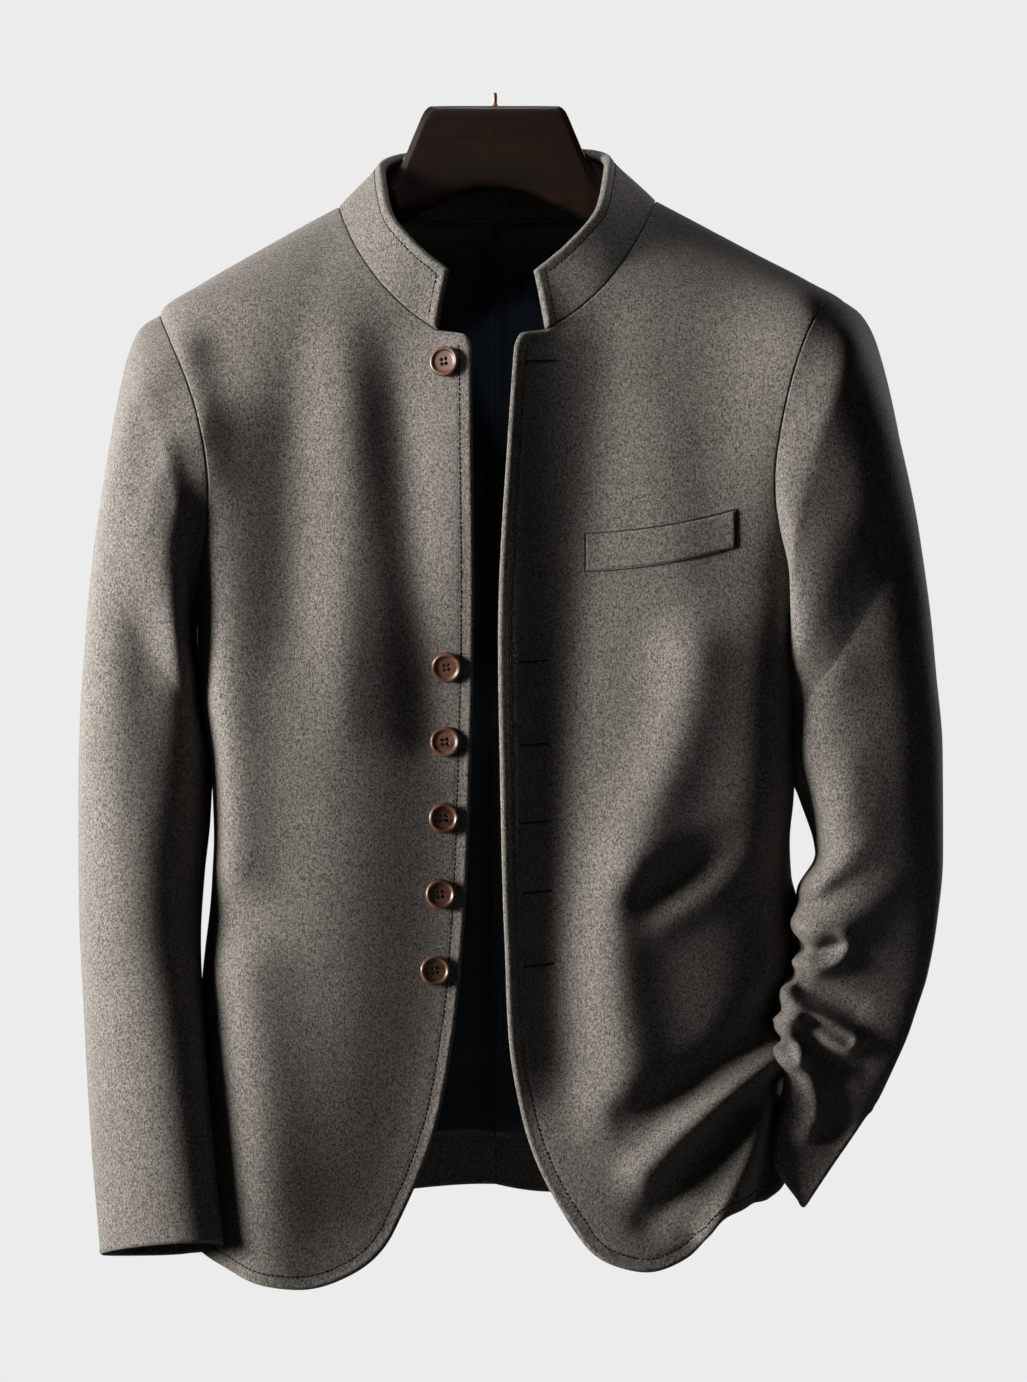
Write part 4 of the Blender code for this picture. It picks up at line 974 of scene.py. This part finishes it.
def seat(points, cloth):
    """Points moved onto a cloth's outer side along its normals there, with those normals."""
    grid, out = cloth.outer.reshape(-1, 3), cloth.out.reshape(-1, 3)
    nearest = []
    for block in np.array_split(points, 1 + len(points) * len(grid) // SEAT_PAIRS):
        nearest.append(((block[:, None] - grid) ** 2).sum(-1).argmin(-1))
    near = np.concatenate(nearest)
    normal = out[near]
    off = ((points - grid[near]) * normal).sum(-1, keepdims=True)
    return points - off * normal, normal


def seat_ahead(x, z, cloth):
    """Points of a front's outer side at given places in the front view, with the normals there."""
    grid, out = cloth.outer.reshape(-1, 3), cloth.out.reshape(-1, 3)
    near = ((np.stack([x, z], axis=-1)[:, None] - grid[:, ::2]) ** 2).sum(-1).argmin(-1)
    normal, anchor = out[near], grid[near]
    y = anchor[:, 1] - ((x - anchor[:, 0]) * normal[:, 0] + (z - anchor[:, 2]) * normal[:, 2]) / normal[:, 1]
    return np.stack([x, y, z], axis=-1), normal


def stitch_line(cloth, inset):
    """A line at an even distance in from a cloth's border, without the loops inside its corners."""
    place = distances(cloth.border)
    at = np.arange(0, place[-1], BORDER_STEP)
    lines = cloth.border, cloth.border_out, cloth.border_in
    border, out, into = (between(place, line, at) for line in lines)
    inward = np.cross(out, unit(np.gradient(border, axis=0)))
    inward = inward * np.sign((inward * into).sum())
    line = border + inset * unit(inward)
    return resample(line[gap_to(line, border) > STITCH_CLEAR * inset], STITCH_PITCH)


def bars(name, kind, centres, run, out, thread):
    """Short rounded bars of thread as one piece: rings along each run, largest in its middle."""
    length, width, height = BAR_SIZES[kind]
    share, size = (np.array(values)[:, None, None] for values in (BAR_SHARES, BAR_SWELL))
    angle = np.arange(BAR_SIDES)[None, :, None] * 2 * math.pi / BAR_SIDES
    across, up = (axis[:, None, None] for axis in (unit(np.cross(out, run)), out))
    ring = across * np.cos(angle) * size * width / 2 + up * np.sin(angle) * size * height / 2
    vertices = centres[:, None, None] + run[:, None, None] * share * length + ring
    count = len(BAR_SHARES) * BAR_SIDES
    index = np.arange(count).reshape(-1, BAR_SIDES)
    ahead = np.roll(index, -1, axis=1)
    quads = np.stack([index[:-1], ahead[:-1], ahead[1:], index[1:]], axis=-1).reshape(-1, 4)
    first = np.arange(len(centres))[:, None] * count
    faces = (first[..., None] + quads).reshape(-1, 4).tolist()
    faces += (first + index[0][::-1]).tolist() + (first + index[-1]).tolist()
    return add_mesh(name, vertices.reshape(-1, 3), faces, thread)


def add_mesh(name, vertices, faces, material):
    """A smooth mesh object in metres at the origin."""
    mesh = bpy.data.meshes.new(name)
    mesh.from_pydata((np.asarray(vertices) * MM).tolist(), [], faces)
    mesh.polygons.foreach_set("use_smooth", np.ones(len(mesh.polygons), bool))
    mesh.materials.append(material)
    mesh.update()
    item = bpy.data.objects.new(name, mesh)
    bpy.context.scene.collection.objects.link(item)
    return item


def add_cloth(name, cloth, material):
    """A closed wall of a cloth's outer and inner points, which share their border."""
    rows, columns = cloth.outer.shape[:2]
    index = np.arange(rows * columns).reshape(rows, columns)
    inner = index + rows * columns
    border = np.zeros((rows, columns), bool)
    border[[0, -1]] = True
    border[:, [0, -1]] = True
    inner = np.where(border, index, inner)
    quads = [np.stack([i[:-1, :-1], i[:-1, 1:], i[1:, 1:], i[1:, :-1]], axis=-1).reshape(-1, 4)
             for i in (index, inner)]
    facing = np.cross(np.gradient(cloth.outer, axis=1), np.gradient(cloth.outer, axis=0))
    if (facing * cloth.out).sum() < 0:
        quads = [q[:, ::-1] for q in quads]
    faces = np.concatenate([quads[0], quads[1][:, ::-1]])
    points = np.concatenate([cloth.outer.reshape(-1, 3), cloth.inner.reshape(-1, 3)])
    used, faces = np.unique(faces, return_inverse=True)
    return add_mesh(name, points[used], faces.reshape(-1, 4).tolist(), material)


def turned(profile, count):
    """Rings of points round the Z axis through a profile of (radius, height)."""
    angle = np.linspace(0, 2 * math.pi, count, endpoint=False)
    reach, height = profile[:, :1], profile[:, 1:]
    return np.stack([reach * np.cos(angle), reach * np.sin(angle), height + 0 * angle], axis=-1)


def button(number, height, cloth, material):
    """A turned button: rim, dish and four round holes, its profile carried round the axis."""
    edge = through(FRONT_EDGE[RIGHT], np.linspace(0, 1, EDGE_SAMPLES))
    x = np.array([np.interp(height, edge[:, 1], edge[:, 0]) - BUTTON_INSET])
    place, out = (values[0] for values in seat_ahead(x, np.array([float(height)]), cloth))
    change = BUTTON_RINGS["change"]
    share = np.concatenate([np.linspace(0, change, BUTTON_RINGS["low"]),
                            np.linspace(change, 1, BUTTON_RINGS["high"])[1:]])
    u, v, h = np.moveaxis(turned(through(BUTTON_PROFILE, share), BUTTON_RINGS["points"]), -1, 0)
    holes = BUTTON_HOLES
    for number_of_hole in range(holes["count"]):
        turn = math.pi / 4 + number_of_hole * QUARTER + holes["turn"]
        gap = np.hypot(u - holes["reach"] * math.cos(turn), v - holes["reach"] * math.sin(turn))
        pit = np.clip((holes["radius"] - gap) / holes["soft"], 0, 1)
        h = h - np.where(share[:, None] > BUTTON_TOP, holes["depth"] * pit * pit * (3 - 2 * pit), 0)
    across = unit(np.array([1.0, 0, 0]) - out[0] * out)
    up = np.cross(out, across)
    low = place + BUTTON_LIFT * out
    points = low + u[..., None] * across + v[..., None] * up + h[..., None] * out
    item = tube(f"button_{number}_turned", points, material)
    middle = low + BUTTON_THREAD["height"] * out
    thread = [middle + aside * up for aside in (BUTTON_THREAD["aside"], -BUTTON_THREAD["aside"])]
    return item, np.array(thread), np.array([across, across]), np.array([out, out])


def hanger(material):
    """The hanger: rounded boxes between a top and a bottom line, carried from one arm's tip to the other,
    their upper corners cut to a bevel."""
    x = np.linspace(-HANGER_REACH, HANGER_REACH, HANGER_RINGS)
    size = {name: along(HANGER["x"], values, np.abs(x))[:, None] for name, values in HANGER.items()}
    least = HANGER_TIP["least"]
    tip = rounded(HANGER_REACH - np.abs(x), HANGER_TIP["length"])[:, None] * (1 - least) + least
    angle = (np.linspace(0, 2 * math.pi, HANGER_POINTS, endpoint=False) + math.pi / HANGER_POINTS)[None, :]
    radius = oval(angle, size["square"])
    middle = (size["top"] + size["bottom"]) / 2
    tall = (size["top"] - size["bottom"]) / 2
    y = size["half"] * radius * np.cos(angle)
    z = tall * radius * np.sin(angle)
    over = (np.abs(y) - size["half"]) / HANGER_BEVEL + (z - tall) / size["bevel"] + 1
    over = np.clip(over, 0, None) / 2
    y = np.sign(y) * (np.abs(y) - HANGER_BEVEL * over)
    z = z - size["bevel"] * over
    return tube("hanger_wood", np.stack([x[:, None] + 0 * y, y * tip, middle + z * tip], axis=-1), material)


def tube(name, points, material):
    """A closed skin through rings of points, with flat ends."""
    rings, count = points.shape[:2]
    index = np.arange(rings * count).reshape(rings, count)
    ahead = np.roll(index, -1, axis=1)
    quads = np.stack([index[:-1], ahead[:-1], ahead[1:], index[1:]], axis=-1).reshape(-1, 4)
    middle = points.mean(axis=1, keepdims=True)
    facing = np.cross(np.roll(points, -1, axis=1)[:-1] - points[:-1], points[1:] - points[:-1])
    faces = quads.tolist() + [index[0][::-1].tolist(), index[-1].tolist()]
    if (facing * (points - middle)[:-1]).sum() < 0:
        faces = [face[::-1] for face in faces]
    return add_mesh(name, points.reshape(-1, 3), faces, material)


def stem(material):
    """The hook's pin: a turned profile that narrows upwards from a small collar at the wood."""
    line = through(STEM_PROFILE, np.linspace(0, 1, STEM_RINGS["along"]))
    return tube("hook_pin", turned(line, STEM_RINGS["points"]), material)


def new_group(name, inputs, outputs):
    """An empty node group with named number inputs and outputs."""
    group = bpy.data.node_groups.new(name, "ShaderNodeTree")
    for label, value in inputs:
        socket = group.interface.new_socket(label, in_out="INPUT", socket_type="NodeSocketFloat")
        socket.default_value = value
    for label in outputs:
        group.interface.new_socket(label, in_out="OUTPUT", socket_type="NodeSocketFloat")
    return group, group.nodes.new("NodeGroupInput"), group.nodes.new("NodeGroupOutput")


def add_node(tree, kind, values=None):
    """A node with its properties and inputs: an input, by name or number, takes a value or another socket."""
    node = tree.nodes.new(kind)
    for key, value in (values or {}).items():
        if not isinstance(key, int) and key not in node.inputs:
            setattr(node, key, value)
        elif isinstance(value, bpy.types.NodeSocket):
            tree.links.new(value, node.inputs[key])
        else:
            node.inputs[key].default_value = value
    return node


def maths(tree, operation, first, second):
    """A math node of two sockets or numbers."""
    return add_node(tree, "ShaderNodeMath", {"operation": operation, 0: first, 1: second}).outputs[0]


def noise(tree, place, scale, size, detail, rough):
    """Noise at a place, as fine as a size times a scale."""
    fine = maths(tree, "MULTIPLY", scale, size)
    values = {"Vector": place, "Scale": fine, "Detail": detail, "Roughness": rough}
    return add_node(tree, "ShaderNodeTexNoise", values).outputs[0]


def object_place(tree):
    """The place on the object itself."""
    return add_node(tree, "ShaderNodeTexCoord").outputs["Object"]


def fibre_group():
    """Felted fibres: clumps, flecks and short upright streaks of noise, mixed to a mottle and a height."""
    inputs = (("Scale", 1.0), ("Contrast", 1.0))
    group, given, result = new_group("felted_fibres", inputs, ("Mottle", "Height", "Cloud"))
    place, scale = object_place(group), given.outputs["Scale"]
    upright = add_node(group, "ShaderNodeMapping", {"Vector": place, "Scale": (1.0, 1.0, 0.4)}).outputs[0]
    clump = noise(group, place, scale, 560, 2, 0.6)
    fleck = noise(group, place, scale, 1250, 2, 0.65)
    streak = noise(group, upright, scale, 1300, 1, 0.5)
    mixed = maths(group, "ADD", maths(group, "MULTIPLY", clump, 0.30), maths(group, "MULTIPLY", fleck, 0.42))
    mixed = maths(group, "ADD", mixed, maths(group, "MULTIPLY", streak, 0.28))
    spread = maths(group, "MULTIPLY", maths(group, "SUBTRACT", mixed, 0.5), given.outputs["Contrast"])
    group.links.new(maths(group, "ADD", spread, 0.5), result.inputs["Mottle"])
    group.links.new(mixed, result.inputs["Height"])
    group.links.new(noise(group, place, scale, 38, 3, 0.55), result.inputs["Cloud"])
    return group


def grain_group():
    """Wood grain: long noise streaks along X, and fine pores."""
    group, given, result = new_group("wood_grain", (("Scale", 1.0), ("Length", 0.12)), ("Grain", "Pores"))
    length = add_node(group, "ShaderNodeCombineXYZ", {0: given.outputs["Length"], 1: 1.0, 2: 1.0}).outputs[0]
    values = {"operation": "MULTIPLY", 0: object_place(group), 1: length}
    long = add_node(group, "ShaderNodeVectorMath", values).outputs[0]
    for name, size, detail in (("Grain", 120, 4), ("Pores", 900, 2)):
        group.links.new(noise(group, long, given.outputs["Scale"], size, detail, 0.6), result.inputs[name])
    return group


def new_material(name):
    """An empty material, its nodes and its shader."""
    material = bpy.data.materials.new(name)
    material.use_nodes = True
    return material, material.node_tree, material.node_tree.nodes["Principled BSDF"]


def set_values(shader, **values):
    """Plain values on a shader's own inputs."""
    for name, value in values.items():
        shader.inputs[name.replace("_", " ")].default_value = value


def place_group(tree, group, **values):
    """The outputs of a node group with the given inputs."""
    return add_node(tree, "ShaderNodeGroup", {"node_tree": group, **values}).outputs


def mix_colours(tree, share, first, second):
    """Two colours, each a value or a socket, mixed by a share."""
    values = {"data_type": "RGBA", "Factor": share, 6: first, 7: second}
    return add_node(tree, "ShaderNodeMix", values).outputs[2]


def steps_of(tree, value, low, high, out_low=0.0, out_high=1.0):
    """A value moved from the range low to high into another range."""
    values = {"Value": value, "From Min": low, "From Max": high, "To Min": out_low, "To Max": out_high}
    return add_node(tree, "ShaderNodeMapRange", values).outputs[0]


def finish(tree, shader, colour, bump, rough=None):
    """A shader's colour, its bump as (height, strength, distance), and its roughness as (value, ranges)."""
    tree.links.new(colour, shader.inputs["Base Color"])
    height, strength, distance = bump
    node = add_node(tree, "ShaderNodeBump", {"Height": height, "Strength": strength, "Distance": distance})
    tree.links.new(node.outputs[0], shader.inputs["Normal"])
    if rough:
        tree.links.new(steps_of(tree, *rough), shader.inputs["Roughness"])


def wool_material(fibres):
    """Heather wool: dark and pale fibres by the mottle, slow clouds, a napped surface and a soft sheen."""
    material, tree, shader = new_material("heather_wool")
    felt = place_group(tree, fibres, Scale=1.1, Contrast=5.4)
    colour = mix_colours(tree, felt["Mottle"], (0.030, 0.0284, 0.0242, 1), (0.210, 0.1915, 0.174, 1))
    cloud = steps_of(tree, felt["Cloud"], 0.3, 0.7, 0.0, 0.16)
    colour = mix_colours(tree, cloud, colour, (0.075, 0.069, 0.058, 1))
    finish(tree, shader, colour, (felt["Height"], 0.55, 0.0012), (felt["Mottle"], 0.0, 1.0, 0.98, 0.86))
    set_values(shader, Sheen_Weight=0.10, Sheen_Roughness=0.45, Sheen_Tint=(0.95, 0.92, 0.88, 1))
    set_values(shader, Specular_IOR_Level=0.18)
    return material


def thread_material(fibres):
    """Sewing thread: dark grey, with the same fibres at a finer scale."""
    material, tree, shader = new_material("dark_thread")
    felt = place_group(tree, fibres, Scale=2.5, Contrast=2.0)
    colour = mix_colours(tree, felt["Mottle"], (0.004, 0.0038, 0.0034, 1), (0.016, 0.015, 0.0135, 1))
    finish(tree, shader, colour, (felt["Height"], 0.3, 0.0004))
    set_values(shader, Roughness=0.85, Specular_IOR_Level=0.2)
    return material


def lining_material(fibres):
    """Satin lining: near black navy with faint threads and a soft gloss."""
    material, tree, shader = new_material("satin_lining")
    felt = place_group(tree, fibres, Scale=1.6, Contrast=2.0)
    colour = mix_colours(tree, felt["Mottle"], (0.011, 0.016, 0.0225, 1), (0.026, 0.037, 0.053, 1))
    finish(tree, shader, colour, (felt["Height"], 0.12, 0.0005), (felt["Cloud"], 0.3, 0.7, 0.34, 0.46))
    set_values(shader, Sheen_Weight=0.05, Sheen_Roughness=0.4, Specular_IOR_Level=0.4)
    return material


def streaks(tree, figure, low, high, dark, pale):
    """Two colours mixed by the grain between two of its values."""
    return mix_colours(tree, steps_of(tree, figure["Grain"], low, high), dark, pale)


def wood_material(grain):
    """Dark stained wood: two browns by the grain, fine pores, a dark middle joint and a worn varnish."""
    material, tree, shader = new_material("dark_wood")
    figure = place_group(tree, grain, Scale=1.0, Length=0.10)
    colour = streaks(tree, figure, 0.32, 0.68, (0.0045, 0.0022, 0.0012, 1), (0.0165, 0.0070, 0.0034, 1))
    pores = steps_of(tree, figure["Pores"], 0.62, 0.74, 0.0, 0.5)
    colour = mix_colours(tree, pores, colour, (0.004, 0.0025, 0.002, 1))
    across = add_node(tree, "ShaderNodeSeparateXYZ", {0: object_place(tree)}).outputs["X"]
    joint = steps_of(tree, maths(tree, "ABSOLUTE", across, 0.0), HANGER_JOINT * MM, 0.0)
    colour = mix_colours(tree, joint, colour, (0.001, 0.0006, 0.0005, 1))
    finish(tree, shader, colour, (figure["Pores"], 0.08, 0.0004), (figure["Grain"], 0.3, 0.7, 0.50, 0.40))
    set_values(shader, Specular_IOR_Level=0.18)
    return material


def button_material(grain):
    """Turned brown buttons: streaked reddish brown under a clear polish."""
    material, tree, shader = new_material("brown_button")
    figure = place_group(tree, grain, Scale=2.4, Length=0.30)
    colour = streaks(tree, figure, 0.35, 0.65, (0.040, 0.0155, 0.008, 1), (0.112, 0.049, 0.027, 1))
    pores = steps_of(tree, figure["Pores"], 0.60, 0.75, 0.0, 0.35)
    colour = mix_colours(tree, pores, colour, (0.025, 0.010, 0.006, 1))
    finish(tree, shader, colour, (figure["Pores"], 0.06, 0.0002), (figure["Pores"], 0.3, 0.7, 0.34, 0.46))
    set_values(shader, Coat_Weight=0.15, Coat_Roughness=0.22)
    return material


def copper_material(grain):
    """Brushed copper, a little tarnished along its streaks."""
    material, tree, shader = new_material("brushed_copper")
    figure = place_group(tree, grain, Scale=6.0, Length=1.0)
    colour = streaks(tree, figure, 0.35, 0.65, (0.15, 0.072, 0.05, 1), (0.29, 0.15, 0.108, 1))
    finish(tree, shader, colour, (figure["Pores"], 0.1, 0.0002), (figure["Pores"], 0.3, 0.7, 0.36, 0.52))
    set_values(shader, Metallic=1.0)
    return material


def floor_material(fibres):
    """A plain pale floor with faint clouds; the camera sees it evenly lit."""
    material, tree, shader = new_material("pale_floor")
    felt = place_group(tree, fibres, Scale=0.05, Contrast=1.0)
    colour = mix_colours(tree, felt["Cloud"], (0.80, 0.80, 0.80, 1), (0.84, 0.84, 0.84, 1))
    tree.links.new(colour, shader.inputs["Base Color"])
    set_values(shader, Roughness=0.9)
    glow = add_node(tree, "ShaderNodeEmission", {"Color": colour, "Strength": 0.97})
    seen = maths(tree, "MULTIPLY", add_node(tree, "ShaderNodeLightPath").outputs["Is Camera Ray"], 0.9)
    mix = add_node(tree, "ShaderNodeMixShader", {0: seen, 1: shader.outputs[0], 2: glow.outputs[0]})
    tree.links.new(mix.outputs[0], tree.nodes["Material Output"].inputs["Surface"])
    return material


def dress(item, node):
    """The piece rides with the blazer, stands for its node and states its finish and, for cloth, its cut."""
    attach(item, "root")
    if node:
        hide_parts(node)
    if node in CUTS:
        width, length, area = CUTS[node]


def build_pieces():
    """All pieces of the blazer and its hanger; gives back the fibres, which the floor shares."""
    fibres, grain = fibre_group(), grain_group()
    wool, thread, satin = wool_material(fibres), thread_material(fibres), lining_material(fibres)
    fronts, sewn = {}, []
    for side, word in SIDES:
        fronts[side] = panel(side, False)
        dress(add_cloth(f"front_{word}_cloth", fronts[side], wool), f"front_{word}")
        dress(add_cloth(f"back_{word}_cloth", panel(side, True), wool), f"back_{word}")
        sewn.append((f"front_{word}", fronts[side], STITCH_INSET))
        for piece, cloth in sleeve(side).items():
            name = f"{piece}_sleeve_{word}"
            dress(add_cloth(name + "_cloth", cloth, wool), name)
        dress(add_cloth(f"lining_{word}_cloth", lining(side), satin), f"lining_{word}")
    band, flap = collar(), welt()
    dress(add_cloth("collar_cloth", band, wool), "collar")
    sewn.append(("collar", band, COLLAR_STITCH_INSET))
    dress(add_cloth("chest_welt_cloth", flap, wool), "chest_welt")
    # The welt's dark outline is partly a seam and partly painted shade.
    welt_seam_and_shade(flap, fronts[LEFT], thread)
    for name, cloth, inset in sewn:
        centres, out = seat(stitch_line(cloth, inset), cloth)
        run = unit(np.gradient(centres, axis=0))
        dress(bars(f"{name}_topstitch", "topstitch", centres, run, out, thread), None)
    buttonholes(fronts[LEFT], thread)
    threads, horn = [], button_material(grain)
    for number, height in enumerate(BUTTON_HEIGHTS, 1):
        item, *lines = button(number, height, fronts[RIGHT], horn)
        dress(item, f"button_{number}")
        threads.append(lines)
    lines = (np.concatenate(part) for part in zip(*threads))
    dress(bars("button_thread", "button", *lines, thread), None)
    dress(hanger(wood_material(grain)), "hanger")
    dress(stem(copper_material(grain)), "hook_stem")
    return fibres


def buttonholes(cloth, thread):
    """Six buttonholes: a dark line of close bars across each slit."""
    share = np.linspace(0, 1, BUTTONHOLE["bars"])
    parts = []
    for height, shift in zip(BUTTONHOLE_HEIGHTS, BUTTONHOLE_SHIFTS):
        x = BUTTONHOLE["start"] + (BUTTONHOLE["end"] - BUTTONHOLE["start"]) * share + shift
        points, out = seat_ahead(x, height + BUTTONHOLE["rise"] * (share - 0.5), cloth)
        parts.append((points, unit(np.cross(out, unit(np.gradient(points, axis=0)))), out))
    lines = (np.concatenate(part) for part in zip(*parts))
    dress(bars("buttonhole_stitches", "buttonhole", *lines, thread), None)


def welt_seam_and_shade(flap, front, thread):
    """The welt's sewn outline: close dark bars laid end to end on the front, along the border of the welt."""
    line = resample(rim(flap.outer), WELT_SEAM_SHADE["pitch"])
    line = line + WELT_SEAM_SHADE["aside"] * unit(np.cross(np.gradient(line, axis=0), AHEAD))
    centres, out = seat_ahead(line[:, 0], line[:, 2], front)
    run = unit(np.gradient(centres, axis=0))
    dress(bars("welt_outline_stitches_and_shade", "welt", centres, run, out, thread), None)


def add_object(name, data, place, turn):
    """An object of the stage at a place in millimetres, turned by the given angles."""
    item = bpy.data.objects.new(name, data)
    item.location = np.array(place) * MM
    item.rotation_euler = turn
    bpy.context.scene.collection.objects.link(item)
    return item


def area_light(light):
    """A soft rectangular light that faces a target."""
    data = bpy.data.lights.new(light.name, "AREA")
    data.shape = "RECTANGLE"
    data.size, data.size_y = light.size
    data.energy, data.color, data.spread = light.power, light.colour, math.radians(light.spread)
    away = Vector(light.place) - Vector(light.target)
    add_object(light.name, data, light.place, away.to_track_quat("Z", "Y").to_euler())


def build_stage(fibres):
    """Camera at the photo's height and distance, one large key light, low fill, and a pale floor."""
    scene = bpy.context.scene
    camera = bpy.data.cameras.new("studio_camera")
    camera.sensor_fit = "VERTICAL"
    camera.sensor_height = CAMERA["sensor"]
    camera.lens = CAMERA["sensor"] * -CAMERA["y"] / CAMERA["frame_height"]
    camera.clip_start, camera.clip_end = CAMERA["near"], CAMERA["far"]
    place = [CAMERA[axis] for axis in "xyz"]
    scene.camera = add_object("studio_camera", camera, place, (QUARTER, 0, 0))

    edge = FLOOR["edge"]
    profile = np.array([(FLOOR["radius"], FLOOR["z"] - edge), (FLOOR["radius"] - edge, FLOOR["z"])], float)
    tube("pale_floor", turned(profile, FLOOR["points"]), floor_material(fibres))
    for light in LIGHTS:
        area_light(light)

    scene.world = bpy.data.worlds.new("pale_room")
    scene.world.use_nodes = True
    tree = scene.world.node_tree
    tree.nodes.clear()
    shown, lit = (add_node(tree, "ShaderNodeBackground", room) for room in (SHOWN_ROOM, LIT_ROOM))
    seen = add_node(tree, "ShaderNodeLightPath").outputs["Is Camera Ray"]
    mix = add_node(tree, "ShaderNodeMixShader", {0: seen, 1: lit.outputs[0], 2: shown.outputs[0]})
    add_node(tree, "ShaderNodeOutputWorld", {"Surface": mix.outputs[0]})
    scene.view_settings.view_transform = "Standard"
    scene.view_settings.look = "None"


shared_fibres = build_pieces()
build_stage(shared_fibres)
